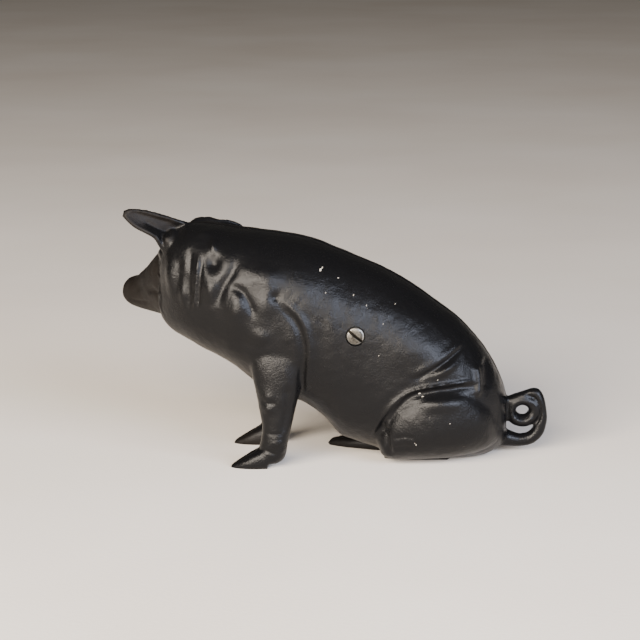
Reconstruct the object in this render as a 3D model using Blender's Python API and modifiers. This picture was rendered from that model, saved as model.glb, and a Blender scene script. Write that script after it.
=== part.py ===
"""Seated pig figure: two hollow cast-iron half shells clamped together by one long machine screw.

Frame: metres, +Z up. The pig faces -X, its tail points to +X, its left side is towards -Y and it
stands on Z = 0. The pattern is drawn about the upright plane where the two shells meet, and at the
end everything is moved so that the origin is the middle of the figure's bounding box, on the ground.
"""
import math

import bmesh
import bpy
from mathutils import Vector

MM = 0.001

# Overall sizes of the casting: snout to tail, ground to ear tip, and across the body.
FIGURE_LENGTH = 284 * MM
FIGURE_HEIGHT = 165.5 * MM
FIGURE_WIDTH = 96 * MM

# The pattern's outline below was drawn at these sizes, and is stretched to the ones above.
DRAWN_LENGTH = 284.0
DRAWN_HEIGHT = 165.5
DRAWN_WIDTH = 96.0

# Casting
WALL = 5.0 * MM
HEAD_WALL = 6.5 * MM
SEAM_GAP = 0.3 * MM
PATTERN_GRID = 1.9 * MM
HALF_TRIANGLES = 4200

# Clamp screw and its seat. The screw's length follows from where its seat and tip lie.
SCREW_AT = (13.0, 88.5)
SCREW_DIAMETER = 5.5 * MM
HEAD_DIAMETER = 11.0 * MM
HEAD_HEIGHT = 3.4 * MM
HEAD_DOME = 1.1 * MM
SLOT_WIDTH = 1.5 * MM
SLOT_DEPTH = 1.6 * MM
SLOT_ANGLE = math.radians(40)
HEAD_PROUD = 1.2 * MM
THREAD_ENGAGED = 14.0 * MM
TIP_CHAMFER = 0.7 * MM
FIT_GAP = 0.3 * MM
SEAT_GAP = 0.3 * MM
COUNTERBORE_CLEARANCE = 0.9 * MM
PILLAR_DIAMETER = 17.0 * MM
BORE_PAST_TIP = 3.0 * MM

# Locating lugs on the right shell, which seat in sockets in the left shell
LUG_PLACES = ((-62.0, 104.0), (74.0, 42.0))
LUG_DIAMETER = 5.0 * MM
LUG_HEIGHT = 3.0 * MM
LUG_PILLAR_DIAMETER = 12.0 * MM

# Body: (station, underside, back, half width), all in drawn millimetres, nose to rump
BODY = (
    (-115.2, 97.5, 131.0, 2.5),
    (-113.2, 91.0, 142.0, 11.0),
    (-107.4, 84.5, 149.0, 20.0),
    (-99.0, 79.5, 153.3, 28.0),
    (-88.0, 73.5, 154.6, 35.0),
    (-76.0, 67.5, 153.2, 40.0),
    (-64.0, 60.0, 151.3, 44.0),
    (-50.0, 49.0, 149.5, 46.5),
    (-36.0, 42.0, 147.8, 47.0),
    (-22.0, 37.5, 145.4, 47.0),
    (-10.0, 29.5, 142.0, 46.5),
    (-2.0, 21.0, 138.6, 46.5),
    (4.0, 14.0, 136.0, 46.0),
    (14.0, 10.5, 131.9, 46.0),
    (26.0, 6.5, 127.0, 46.0),
    (38.0, 1.0, 121.0, 46.0),
    (52.0, -1.0, 112.5, 46.0),
    (66.0, -1.0, 102.4, 45.0),
    (79.0, -1.0, 92.7, 42.5),
    (89.8, -0.5, 82.0, 38.5),
    (98.4, 0.8, 71.0, 33.0),
    (105.8, 4.0, 58.5, 25.0),
    (110.8, 8.0, 47.0, 16.0),
    (113.2, 12.5, 38.0, 7.0),
)
BODY_SQUARENESS = 2.5

# Head: a tapered loft along a level axis that is turned to the pig's right
HEAD_ROOT = (-80.0, 0.0)
HEAD_TURN = math.radians(46)
HEAD = (
    (-6.0, 86.0, 146.0, 25.0),
    (6.0, 86.0, 149.0, 26.5),
    (18.0, 86.0, 147.5, 26.0),
    (30.0, 86.2, 141.0, 23.5),
    (42.0, 86.8, 134.0, 19.5),
    (54.0, 87.0, 124.5, 15.5),
    (66.0, 87.2, 115.5, 12.0),
    (73.0, 87.6, 110.8, 11.0),
    (78.0, 88.8, 109.2, 11.4),
    (81.5, 91.2, 107.5, 10.2),
)
HEAD_SQUARENESS = 2.2

# Ears: (upper rim, lower rim, depth of cup) from the root to the tip, and the cup's direction
LEFT_EAR = (
    (-94.0, -4.0, 154.5, -106.0, -12.0, 133.0, 5.0),
    (-102.5, -7.0, 157.4, -112.6, -14.0, 141.5, 5.2),
    (-110.0, -9.0, 160.1, -116.0, -15.5, 146.0, 4.8),
    (-117.5, -11.0, 162.7, -121.6, -16.0, 149.9, 4.0),
    (-124.5, -12.5, 164.5, -128.1, -16.0, 153.0, 3.0),
    (-130.8, -13.5, 165.5, -133.2, -16.0, 156.9, 1.8),
    (-135.2, -14.2, 164.7, -136.2, -15.5, 160.5, 0.8),
    (-136.6, -14.8, 163.2, -136.8, -15.0, 162.2, 0.2),
)
LEFT_CUP = (0.1, 1.0, 0.0)
RIGHT_EAR = (
    (-99.0, 8.0, 148.5, -103.0, 14.0, 134.0, 5.0),
    (-95.5, 18.5, 152.4, -101.5, 25.0, 138.0, 5.0),
    (-89.0, 28.0, 153.0, -96.0, 35.5, 138.6, 4.5),
    (-80.5, 36.5, 150.2, -87.5, 43.5, 138.0, 3.2),
    (-72.0, 43.5, 145.6, -77.0, 48.5, 137.6, 1.6),
    (-66.5, 47.5, 142.0, -69.0, 50.0, 138.6, 0.5),
    (-64.5, 49.0, 140.6, -65.0, 49.6, 139.8, 0.0),
)
RIGHT_CUP = (0.8, -0.6, 0.1)
EAR_THICKNESS = 3.6 * MM

# Front legs: (x, z, half length, half thickness, outwards from the leg's line) going down
LEFT_LEG_LINE = -36.0
RIGHT_LEG_LINE = 25.0
FRONT_LEG = (
    (-36.0, 98.0, 20.0, 8.0, -4.0),
    (-36.0, 76.0, 20.0, 11.0, -1.5),
    (-36.6, 60.0, 17.1, 11.5, 0.0),
    (-37.3, 46.0, 13.3, 11.0, 0.5),
    (-37.7, 37.0, 11.5, 9.8, 1.0),
    (-38.0, 27.0, 9.5, 8.6, 1.5),
    (-39.6, 18.0, 9.0, 8.2, 1.5),
    (-41.2, 11.0, 9.4, 8.2, 1.0),
    (-43.8, 6.0, 10.4, 8.0, 0.5),
    (-45.5, 3.6, 9.6, 7.4, 0.0),
    (-46.5, 2.6, 6.0, 5.0, 0.0),
)
# Hooves: (tip x, heel x, half width, height), and the lines under a hind foot's tip and heel
FRONT_HOOF = (-69.0, -44.0, 8.0, 15.2)
LEFT_HIND_FOOT = (32.0, 74.0, 7.0, 12.0)
LEFT_HIND_LINES = (-13.5, -13.5)
RIGHT_HIND_FOOT = (-5.5, 60.0, 9.5, 8.5)
RIGHT_HIND_LINES = (22.5, 4.0)
HIND_FOOT_BLUNTNESS = 2.2
SOLE_DEPTH = 2.0
HOOF_EDGE = 0.9

# Thigh: (station, underside, top, half width, out from the joint plane)
THIGH = (
    (27.5, 13.0, 19.5, 3.5, 30.0),
    (30.0, 6.5, 29.5, 10.0, 29.0),
    (35.0, 3.6, 41.0, 17.0, 27.5),
    (42.0, 2.8, 49.5, 22.0, 25.5),
    (52.0, 2.8, 56.0, 25.0, 24.5),
    (65.0, 3.2, 60.0, 26.0, 24.0),
    (78.0, 4.2, 59.5, 25.0, 23.0),
    (90.0, 6.5, 53.5, 21.5, 21.5),
    (99.0, 9.0, 43.5, 16.0, 20.0),
    (105.0, 12.5, 33.0, 9.0, 18.0),
    (108.0, 16.0, 25.0, 3.0, 17.0),
)
THIGH_SQUARENESS = 2.2

# Tail: a ring round the eye, and a strand (x, z, share of the wire's thickness) that starts at the
# rump, runs under and behind the ring and comes back over it. Webs join the ring to the rump.
TAIL_WIRE = 4.2
TAIL_EYE = (124.0, 29.0)
TAIL_EYE_RADII = (8.3, 7.4)
TAIL_STRAND = (
    (103.0, 11.5, 1.7), (109.5, 10.8, 1.55), (114.0, 9.8, 1.35), (118.5, 8.8, 1.15),
    (122.8, 8.4, 1.05), (129.4, 9.8, 1.0), (134.0, 13.8, 1.0), (136.2, 19.4, 1.0),
    (136.5, 26.0, 1.0), (135.6, 32.5, 1.0), (133.9, 37.6, 1.0), (131.6, 40.2, 0.95),
    (126.5, 38.5, 0.95), (120.5, 36.1, 1.0), (114.0, 33.5, 1.0), (107.0, 31.0, 1.0),
)
TAIL_WEBS = (
    ((106.0, 29.0, 1.0), (115.7, 29.0, 1.0)),
    ((104.0, 23.8, 1.0), (116.5, 25.8, 1.0)),
)

STRETCH = Vector((
    FIGURE_LENGTH / DRAWN_LENGTH,
    FIGURE_WIDTH / DRAWN_WIDTH,
    FIGURE_HEIGHT / DRAWN_HEIGHT,
))


def drawn(x, y, z):
    """A point of the pattern drawing, in drawn millimetres, brought to the casting's size."""
    return Vector((x * STRETCH.x, y * STRETCH.y, z * STRETCH.z))


def make_material(name, colour, metallic, roughness):
    material = bpy.data.materials.new(name)
    material.use_nodes = True
    shader = material.node_tree.nodes["Principled BSDF"]
    shader.inputs["Base Color"].default_value = (*colour, 1.0)
    shader.inputs["Metallic"].default_value = metallic
    shader.inputs["Roughness"].default_value = roughness
    return material


def make_collection(name):
    collection = bpy.data.collections.new(name)
    bpy.context.scene.collection.children.link(collection)
    return collection


def add_object(name, bm, collection):
    """Turn a bmesh into an object, with its faces pointing out."""
    bmesh.ops.recalc_face_normals(bm, faces=bm.faces[:])
    mesh = bpy.data.meshes.new(name)
    bm.to_mesh(mesh)
    bm.free()
    obj = bpy.data.objects.new(name, mesh)
    collection.objects.link(obj)
    return obj


def superellipse(sides, squareness):
    """Points round a unit superellipse, as (across, up)."""
    points = []
    for i in range(sides):
        angle = 2 * math.pi * i / sides
        across, up = math.cos(angle), math.sin(angle)
        points.append((
            math.copysign(abs(across) ** (2 / squareness), across),
            math.copysign(abs(up) ** (2 / squareness), up),
        ))
    return points


def loft(name, rings, collection):
    """A closed skin through rings that have the same number of points."""
    bm = bmesh.new()
    rows = [[bm.verts.new(point) for point in ring] for ring in rings]
    for lower, upper in zip(rows, rows[1:]):
        for i in range(len(lower)):
            j = (i + 1) % len(lower)
            bm.faces.new((lower[i], lower[j], upper[j], upper[i]))
    bm.faces.new(rows[0])
    bm.faces.new(rows[-1])
    return add_object(name, bm, collection)


def body_rings(inset):
    """Upright rings of the body, each inset by a wall all round."""
    shape = superellipse(36, BODY_SQUARENESS)
    rings = []
    for station, low, high, half_width in BODY:
        centre = drawn(station, 0, (low + high) / 2)
        half_height = (high - low) / 2 * STRETCH.z - inset
        half = half_width * STRETCH.y - inset
        if half < inset or half_height < inset:
            continue
        rings.append([centre + Vector((0, a * half, b * half_height)) for a, b in shape])
    return rings


def head_rings(inset):
    """Upright rings square to the head's axis, which is turned to the pig's right."""
    shape = superellipse(28, HEAD_SQUARENESS)
    ahead = Vector((-math.cos(HEAD_TURN), math.sin(HEAD_TURN), 0))
    aside = Vector((math.sin(HEAD_TURN), math.cos(HEAD_TURN), 0))
    root = drawn(*HEAD_ROOT, 0)
    rings = []
    for along, low, high, half_width in HEAD:
        centre = root + ahead * (along * STRETCH.x) + drawn(0, 0, (low + high) / 2)
        half_height = (high - low) / 2 * STRETCH.z - inset
        half = half_width * STRETCH.x - inset
        if half < inset:
            continue
        rings.append([centre + aside * (a * half) + Vector((0, 0, b * half_height)) for a, b in shape])
    return rings


def front_leg_rings(side, line):
    """Level rings down a front leg."""
    shape = superellipse(20, 2.2)
    rings = []
    for x, z, half_length, half_thick, out in FRONT_LEG:
        centre = drawn(x, line + side * out, z)
        rings.append([
            centre + Vector((a * half_length * STRETCH.x, b * half_thick * STRETCH.y, 0))
            for a, b in shape
        ])
    return rings


def hoof_rings(hoof, tip_line, heel_line, bluntness):
    """Upright rings of a wedge-shaped hoof, from its heel to its tip. A bluntness of 1 is pointed."""
    tip, heel, half_width, height = hoof
    shape = superellipse(16, 2.6)
    rings = []
    steps = 12
    for i in range(steps):
        t = i / (steps - 1)
        high = height * (1 - t ** bluntness) ** (1 / bluntness) + HOOF_EDGE
        half = half_width * (1 - t ** (1.6 + bluntness)) ** (0.5 + 0.3 / bluntness) + HOOF_EDGE
        x, y = heel + (tip - heel) * t, heel_line + (tip_line - heel_line) * t
        centre = drawn(x, y, (high - SOLE_DEPTH) / 2)
        half_height = (high + SOLE_DEPTH) / 2
        rings.append([
            centre + Vector((0, a * half * STRETCH.y, b * half_height * STRETCH.z)) for a, b in shape])
    return rings


def thigh_rings(side):
    """Upright rings of the rounded mass over a hind leg."""
    shape = superellipse(28, THIGH_SQUARENESS)
    rings = []
    for station, low, high, half_width, out in THIGH:
        centre = drawn(station, side * out, (low + high) / 2)
        half_height = (high - low) / 2 * STRETCH.z
        rings.append([
            centre + Vector((0, a * half_width * STRETCH.y, b * half_height)) for a, b in shape])
    return rings


def add_ear(name, rims, cup_way, collection):
    """A cupped leaf: a sheet between two rims that sinks between them, given a thickness."""
    cup_way = Vector(cup_way).normalized()
    across_steps = 10
    bm = bmesh.new()
    grid = []
    for rim in rims:
        upper, lower, depth = Vector(rim[0:3]), Vector(rim[3:6]), rim[6]
        row = []
        for j in range(across_steps + 1):
            u = 2 * j / across_steps - 1
            point = lower.lerp(upper, (u + 1) / 2) + cup_way * (depth * (1 - abs(u) ** 2.4))
            row.append(bm.verts.new(drawn(*point)))
        grid.append(row)
    for lower, upper in zip(grid, grid[1:]):
        for j in range(across_steps):
            bm.faces.new((lower[j], lower[j + 1], upper[j + 1], upper[j]))
    obj = add_object(name, bm, collection)
    solid = obj.modifiers.new("thickness", "SOLIDIFY")
    solid.thickness = EAR_THICKNESS
    solid.offset = 0.0
    return obj


def add_strand(name, points, closed, collection):
    """A round strand in the joint plane through (x, z, share of the wire's thickness) points."""
    curve = bpy.data.curves.new(name, "CURVE")
    curve.dimensions = "3D"
    curve.bevel_depth = TAIL_WIRE * STRETCH.z
    curve.bevel_resolution = 2
    curve.use_fill_caps = not closed
    spline = curve.splines.new("BEZIER")
    spline.bezier_points.add(len(points) - 1)
    spline.resolution_u = 4
    spline.use_cyclic_u = closed
    for bezier, (x, z, share) in zip(spline.bezier_points, points):
        bezier.co = drawn(x, 0, z)
        bezier.radius = share
        bezier.handle_left_type = "AUTO"
        bezier.handle_right_type = "AUTO"
    strand = bpy.data.objects.new(name, curve)
    collection.objects.link(strand)
    return strand


def add_tail(collection):
    """The curl, lying in the joint plane."""
    eye_points = 16
    angles = [2 * math.pi * i / eye_points for i in range(eye_points)]
    eye = [
        (TAIL_EYE[0] + TAIL_EYE_RADII[0] * math.cos(a), TAIL_EYE[1] + TAIL_EYE_RADII[1] * math.sin(a), 1.0)
        for a in angles
    ]
    pieces = [
        add_strand("tail_eye", eye, True, collection),
        add_strand("tail_strand", TAIL_STRAND, False, collection),
    ]
    for i, web in enumerate(TAIL_WEBS):
        pieces.append(add_strand(f"tail_web_{i}", web, False, collection))
    return pieces


def evaluated_bmesh(objects):
    """One bmesh that holds the evaluated meshes of all the objects, in world space."""
    bpy.context.view_layer.update()
    depsgraph = bpy.context.evaluated_depsgraph_get()
    bm = bmesh.new()
    for obj in objects:
        mesh = bpy.data.meshes.new_from_object(obj.evaluated_get(depsgraph))
        mesh.transform(obj.matrix_world)
        bm.from_mesh(mesh)
        bpy.data.meshes.remove(mesh)
    bmesh.ops.remove_doubles(bm, verts=bm.verts[:], dist=0.01 * MM)
    return bm


def remove_objects(objects):
    for obj in objects:
        bpy.data.objects.remove(obj)


def make_pattern(collection):
    """The solid outer shape of the whole pig, as the foundry's pattern."""
    pieces = [
        loft("body", body_rings(0.0), collection),
        loft("head", head_rings(0.0), collection),
        add_ear("left_ear", LEFT_EAR, LEFT_CUP, collection),
        add_ear("right_ear", RIGHT_EAR, RIGHT_CUP, collection),
    ]
    for side, line in ((-1, LEFT_LEG_LINE), (1, RIGHT_LEG_LINE)):
        pieces.append(loft("front_leg", front_leg_rings(side, line), collection))
        pieces.append(loft("front_hoof", hoof_rings(FRONT_HOOF, line, line, 1.0), collection))
        pieces.append(loft("thigh", thigh_rings(side), collection))
    for foot, lines in ((LEFT_HIND_FOOT, LEFT_HIND_LINES), (RIGHT_HIND_FOOT, RIGHT_HIND_LINES)):
        pieces.append(loft("hind_foot", hoof_rings(foot, *lines, HIND_FOOT_BLUNTNESS), collection))
    pieces += add_tail(collection)
    bm = evaluated_bmesh(pieces)
    remove_objects(pieces)
    pattern = add_object("pattern", bm, collection)
    skin = pattern.modifiers.new("one_skin", "REMESH")
    skin.mode = "VOXEL"
    skin.voxel_size = PATTERN_GRID
    blend = pattern.modifiers.new("blend", "SMOOTH")
    blend.factor = 0.5
    blend.iterations = 3
    return pattern


def apply_modifiers(obj, collection):
    """Replace an object by its evaluated mesh."""
    bm = evaluated_bmesh([obj])
    name = obj.name
    bpy.data.objects.remove(obj)
    return add_object(name, bm, collection)


def add_box(name, low, high, collection):
    bm = bmesh.new()
    bmesh.ops.create_cube(bm, size=1.0)
    size = Vector(high) - Vector(low)
    middle = (Vector(high) + Vector(low)) / 2
    for vert in bm.verts:
        vert.co = middle + Vector(c * s for c, s in zip(vert.co, size))
    return add_object(name, bm, collection)


def add_pin(name, x, z, y_from, y_to, diameter, collection, sides=24):
    """A plain round pin along Y."""
    bm = bmesh.new()
    bmesh.ops.create_cone(
        bm, cap_ends=True, segments=sides, radius1=diameter / 2, radius2=diameter / 2,
        depth=abs(y_to - y_from))
    for vert in bm.verts:
        vert.co = Vector((x + vert.co.x, (y_from + y_to) / 2 + vert.co.z, z - vert.co.y))
    return add_object(name, bm, collection)


def boolean(obj, other, operation):
    step = obj.modifiers.new(f"{operation.lower()}_{other.name}", "BOOLEAN")
    step.operation = operation
    step.object = other
    step.solver = "EXACT"


def hide_cutter(obj):
    obj.hide_render = True
    obj.display_type = "WIRE"


def flank_at(pattern, x, z, side):
    """Y of the pattern's outer surface at a place on one flank."""
    start = Vector((x, side * FIGURE_WIDTH, z))
    _hit, place, _normal, _face = pattern.ray_cast(start, Vector((0, -side, 0)))
    return place.y


def make_clamp_screw(collection, x, z, seat_y, tip_y, material):
    """Turned head and shank as one profile about Y, before the slot is sawn across the head."""
    radius, head_radius = SCREW_DIAMETER / 2, HEAD_DIAMETER / 2
    profile = [
        (0.0, -HEAD_HEIGHT),
        (head_radius * 0.55, -HEAD_HEIGHT + HEAD_DOME * 0.16),
        (head_radius * 0.85, -HEAD_HEIGHT + HEAD_DOME * 0.5),
        (head_radius, -HEAD_HEIGHT + HEAD_DOME * 1.2),
        (head_radius, 0.0),
        (radius, 0.0),
        (radius, tip_y - seat_y - TIP_CHAMFER),
        (radius - TIP_CHAMFER, tip_y - seat_y),
        (0.0, tip_y - seat_y),
    ]
    bm = bmesh.new()
    verts = [bm.verts.new((r, along, 0.0)) for r, along in profile]
    for first, second in zip(verts, verts[1:]):
        bm.edges.new((first, second))
    mesh = bpy.data.meshes.new("clamp_screw")
    bm.to_mesh(mesh)
    bm.free()
    screw = bpy.data.objects.new("clamp_screw", mesh)
    collection.objects.link(screw)
    screw.location = (x, seat_y, z)
    turn = screw.modifiers.new("turned", "SCREW")
    turn.axis = "Y"
    turn.steps = 32
    turn.render_steps = 32
    turn.use_merge_vertices = True
    turn.merge_threshold = 0.00001
    turn.use_normal_calculate = True
    screw.data.materials.append(material)
    return screw


def add_slot_cutter(x, z, head_top, collection):
    """The saw cut across the screw's head, turned by the slot's angle."""
    low = (-HEAD_DIAMETER, -SLOT_DEPTH, -SLOT_WIDTH / 2)
    high = (HEAD_DIAMETER, SLOT_DEPTH, SLOT_WIDTH / 2)
    slot = add_box("slot_cutter", low, high, collection)
    slot.location = (x, head_top, z)
    slot.rotation_euler = (0, SLOT_ANGLE, 0)
    return slot


def make_core(screw_place, cutters):
    """The hollow inside both shells, with a pillar left standing in it for the screw and each lug."""
    core = loft("body_core", body_rings(WALL), cutters)
    head_core = loft("head_core", head_rings(HEAD_WALL), cutters)
    boolean(core, head_core, "UNION")
    pillars = [("clamp_pillar", screw_place, PILLAR_DIAMETER)]
    for i, (lug_x, lug_z) in enumerate(LUG_PLACES):
        pillars.append((f"lug_pillar_{i}", drawn(lug_x, 0, lug_z), LUG_PILLAR_DIAMETER))
    for name, place, diameter in pillars:
        pillar = add_pin(name, place.x, place.z, -FIGURE_WIDTH, FIGURE_WIDTH, diameter, cutters)
        boolean(core, pillar, "DIFFERENCE")
    return core


def make_half(name, side, pattern, core, parts, cutters):
    """One shell: the pattern's skin on one side of the joint plane, cut flat below and hollowed."""
    half = add_object(name, evaluated_bmesh([pattern]), parts)
    facets = half.modifiers.new("casting_facets", "DECIMATE")
    facets.ratio = min(1.0, HALF_TRIANGLES / len(half.data.polygons))
    half.modifiers.new("flat_facets", "TRIANGULATE")
    reach = 2 * FIGURE_LENGTH
    across = sorted((side * SEAM_GAP / 2, side * reach))
    room = add_box(f"{name}_side", (-reach, across[0], 0.0), (reach, across[1], reach), cutters)
    boolean(half, room, "INTERSECT")
    boolean(half, core, "DIFFERENCE")
    return half


def add_lugs(right_half, cutters):
    for i, (lug_x, lug_z) in enumerate(LUG_PLACES):
        place = drawn(lug_x, 0, lug_z)
        lug = add_pin(f"lug_{i}", place.x, place.z, -LUG_HEIGHT, LUG_HEIGHT, LUG_DIAMETER, cutters)
        boolean(right_half, lug, "UNION")


def cut_sockets(left_half, cutters):
    for i, (lug_x, lug_z) in enumerate(LUG_PLACES):
        place = drawn(lug_x, 0, lug_z)
        socket = add_pin(
            f"socket_{i}", place.x, place.z, -LUG_HEIGHT - FIT_GAP, LUG_HEIGHT,
            LUG_DIAMETER + 2 * FIT_GAP, cutters)
        boolean(left_half, socket, "DIFFERENCE")


def cut_screw_seat(left_half, place, under_head, cutters):
    """Clearance bore through the left pillar, and the counterbore that the head sits in."""
    clearance = add_pin(
        "clearance_bore", place.x, place.z, -FIGURE_WIDTH, SEAM_GAP,
        SCREW_DIAMETER + 2 * FIT_GAP, cutters)
    counterbore = add_pin(
        "counterbore", place.x, place.z, -FIGURE_WIDTH, under_head + SEAT_GAP,
        HEAD_DIAMETER + 2 * COUNTERBORE_CLEARANCE, cutters, sides=32)
    boolean(left_half, clearance, "DIFFERENCE")
    boolean(left_half, counterbore, "DIFFERENCE")


def cut_tapped_bore(right_half, place, tip_y, cutters):
    tapped = add_pin(
        "tapped_bore", place.x, place.z, -SEAM_GAP, tip_y + BORE_PAST_TIP,
        SCREW_DIAMETER + 2 * FIT_GAP, cutters)
    boolean(right_half, tapped, "DIFFERENCE")


def centre_on_ground(parts, cutters):
    """Hang everything on one empty, placed so that the bounding box is centred on the origin."""
    bpy.context.view_layer.update()
    depsgraph = bpy.context.evaluated_depsgraph_get()
    corners = []
    for obj in parts.objects:
        mesh = obj.evaluated_get(depsgraph).data
        corners += [obj.matrix_world @ vert.co for vert in mesh.vertices]
    middle = [(min(c[i] for c in corners) + max(c[i] for c in corners)) / 2 for i in range(2)]
    frame = bpy.data.objects.new("figure_frame", None)
    parts.objects.link(frame)
    frame.location = (-middle[0], -middle[1], 0)
    for obj in list(parts.objects) + list(cutters.objects):
        if obj is not frame:
            obj.parent = frame


def main():
    for obj in list(bpy.data.objects):
        bpy.data.objects.remove(obj)
    parts = make_collection("seated_pig_figure")
    cutters = make_collection("cutters")
    enamel = make_material("black_enamel", (0.018, 0.019, 0.021), 0.0, 0.42)
    worn_enamel = make_material("worn_black_enamel", (0.024, 0.021, 0.019), 0.0, 0.48)
    steel = make_material("bright_steel", (0.55, 0.54, 0.51), 1.0, 0.35)

    pattern = apply_modifiers(make_pattern(cutters), cutters)
    screw_place = drawn(SCREW_AT[0], 0, SCREW_AT[1])
    head_top = flank_at(pattern, screw_place.x, screw_place.z, -1) - HEAD_PROUD
    under_head = head_top + HEAD_HEIGHT
    tip_y = THREAD_ENGAGED

    core = make_core(screw_place, cutters)
    left_half = make_half("left_half", -1, pattern, core, parts, cutters)
    cut_sockets(left_half, cutters)
    cut_screw_seat(left_half, screw_place, under_head, cutters)
    left_half.data.materials.append(enamel)

    right_half = make_half("right_half", 1, pattern, core, parts, cutters)
    add_lugs(right_half, cutters)
    cut_tapped_bore(right_half, screw_place, tip_y, cutters)
    right_half.data.materials.append(worn_enamel)

    screw = make_clamp_screw(parts, screw_place.x, screw_place.z, under_head, tip_y, steel)
    slot = add_slot_cutter(screw_place.x, screw_place.z, head_top, cutters)
    boolean(screw, slot, "DIFFERENCE")
    for cutter in cutters.objects:
        hide_cutter(cutter)
    centre_on_ground(parts, cutters)


main()
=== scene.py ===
"""Looks of the seated pig counter figure: black enamelled cast iron, two shells and a screw.

The pig's skin is built up as a founder's pattern from extruded lofts, joined into one skin, and
then worked like clay: every fold, muscle, eye and hoof is a stroke that moves the skin. The
finished skin is parted along the joint plane and hollowed, so that each shell is a real casting
that fits the frame. Pattern sizes are millimetres, measured from the joint plane and the ground.
"""
import logging
import math
from dataclasses import dataclass, field
from enum import Enum
from typing import Callable, Iterable, Sequence

import bpy
import numpy as np
from mathutils import Matrix, Vector, noise


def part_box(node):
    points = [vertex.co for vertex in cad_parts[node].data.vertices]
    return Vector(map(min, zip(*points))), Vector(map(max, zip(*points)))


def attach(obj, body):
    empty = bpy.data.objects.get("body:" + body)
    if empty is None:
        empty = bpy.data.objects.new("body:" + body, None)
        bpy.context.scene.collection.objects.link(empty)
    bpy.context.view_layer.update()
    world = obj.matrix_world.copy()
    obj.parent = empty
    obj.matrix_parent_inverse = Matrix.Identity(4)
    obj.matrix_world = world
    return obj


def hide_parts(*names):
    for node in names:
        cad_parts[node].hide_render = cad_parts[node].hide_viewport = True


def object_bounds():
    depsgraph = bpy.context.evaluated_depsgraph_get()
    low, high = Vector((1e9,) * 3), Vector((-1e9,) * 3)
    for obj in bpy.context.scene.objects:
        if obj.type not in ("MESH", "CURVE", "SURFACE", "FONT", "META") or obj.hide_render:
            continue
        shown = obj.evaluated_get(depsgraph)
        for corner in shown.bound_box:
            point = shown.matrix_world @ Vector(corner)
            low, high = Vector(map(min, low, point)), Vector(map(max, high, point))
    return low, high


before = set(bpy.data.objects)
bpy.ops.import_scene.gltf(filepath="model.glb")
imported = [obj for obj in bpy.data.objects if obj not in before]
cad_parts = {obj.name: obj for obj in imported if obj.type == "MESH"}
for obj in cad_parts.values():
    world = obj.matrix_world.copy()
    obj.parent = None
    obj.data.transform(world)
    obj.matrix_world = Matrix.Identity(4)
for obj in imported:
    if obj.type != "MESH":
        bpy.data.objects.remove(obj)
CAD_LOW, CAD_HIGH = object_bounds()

LOG = logging.getLogger("seated_pig")
MM = 0.001
Row = tuple[float, ...]
Points = Sequence[tuple[float, float]]

# Grid of the worked skin, in millimetres.
CLAY_GRID = 0.9
# Points that a drawn line is given between two of its own.
LINE_STEPS = 14
SEAM_GAP = 0.3
SCREW_AT = (13.0, 88.5)
SCREW_DIAMETER = 5.5
HEAD_DIAMETER = 11.0
HEAD_HEIGHT = 3.4
FIT_GAP = 0.3


class Flank(Enum):
    """The pig's own left and right, as the sign of Y on that side of the joint plane."""

    LEFT = -1
    RIGHT = 1


@dataclass(frozen=True)
class Datum:
    """Where the pattern's origin, on the joint plane and the ground, lies in the frame.

    Args:
        x: Metres along the frame's X.
        y: Metres along the frame's Y, which is the joint plane.
    """

    x: float
    y: float

    @classmethod
    def from_frame(cls) -> "Datum":
        """Read the joint plane off the left shell, and the pattern's origin off the screw.

        Returns:
            The datum of the loaded frame.
        """
        screw_low, screw_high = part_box("clamp_screw")
        joint_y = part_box("left_half")[1][1] + SEAM_GAP / 2 * MM
        return cls((screw_low[0] + screw_high[0]) / 2 - SCREW_AT[0] * MM, joint_y)

    def matrix(self) -> Matrix:
        """Pattern millimetres to frame metres."""
        return Matrix.Translation((self.x, self.y, 0.0)) @ Matrix.Scale(MM, 4)


# ---------------------------------------------------------------------------------------------
# Small helpers round Blender's operators
# ---------------------------------------------------------------------------------------------

def select_only(piece: bpy.types.Object) -> None:
    """Make one object the only selected one, and the active one.

    Args:
        piece: The object to select.
    """
    bpy.ops.object.select_all(action="DESELECT")
    piece.select_set(True)
    bpy.context.view_layer.objects.active = piece


def apply_all(piece: bpy.types.Object) -> None:
    """Apply every modifier on an object, first to last.

    Args:
        piece: The object whose modifiers are applied.
    """
    select_only(piece)
    for modifier in list(piece.modifiers):
        bpy.ops.object.modifier_apply(modifier=modifier.name)


def join(pieces: Sequence[bpy.types.Object], name: str) -> bpy.types.Object:
    """Join mesh objects into the first of them.

    Args:
        pieces: The objects to join.
        name: The joined object's name.
    Returns:
        The joined object.
    """
    bpy.ops.object.select_all(action="DESELECT")
    for piece in pieces:
        piece.select_set(True)
    bpy.context.view_layer.objects.active = pieces[0]
    bpy.ops.object.join()
    joined = bpy.context.view_layer.objects.active
    joined.name = name
    joined.data.name = name
    return joined


def smooth_rows(rows: Sequence[Row], steps: int) -> list[Row]:
    """Rows of numbers with a smooth curve's rows put between them.

    Args:
        rows: Rows of equal length.
        steps: How many rows each span becomes.
    Returns:
        The rows of a Catmull-Rom curve through them all.
    """
    padded = [rows[0], *rows, rows[-1]]
    result: list[Row] = []
    for a, b, c, d in zip(padded, padded[1:], padded[2:], padded[3:]):
        for i in range(steps):
            t = i / steps
            result.append(tuple(
                0.5 * (2 * q + (r - p) * t + (2 * p - 5 * q + 4 * r - s) * t * t
                       + (3 * q - p - 3 * r + s) * t ** 3)
                for p, q, r, s in zip(a, b, c, d)))
    result.append(tuple(rows[-1]))
    return result


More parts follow.
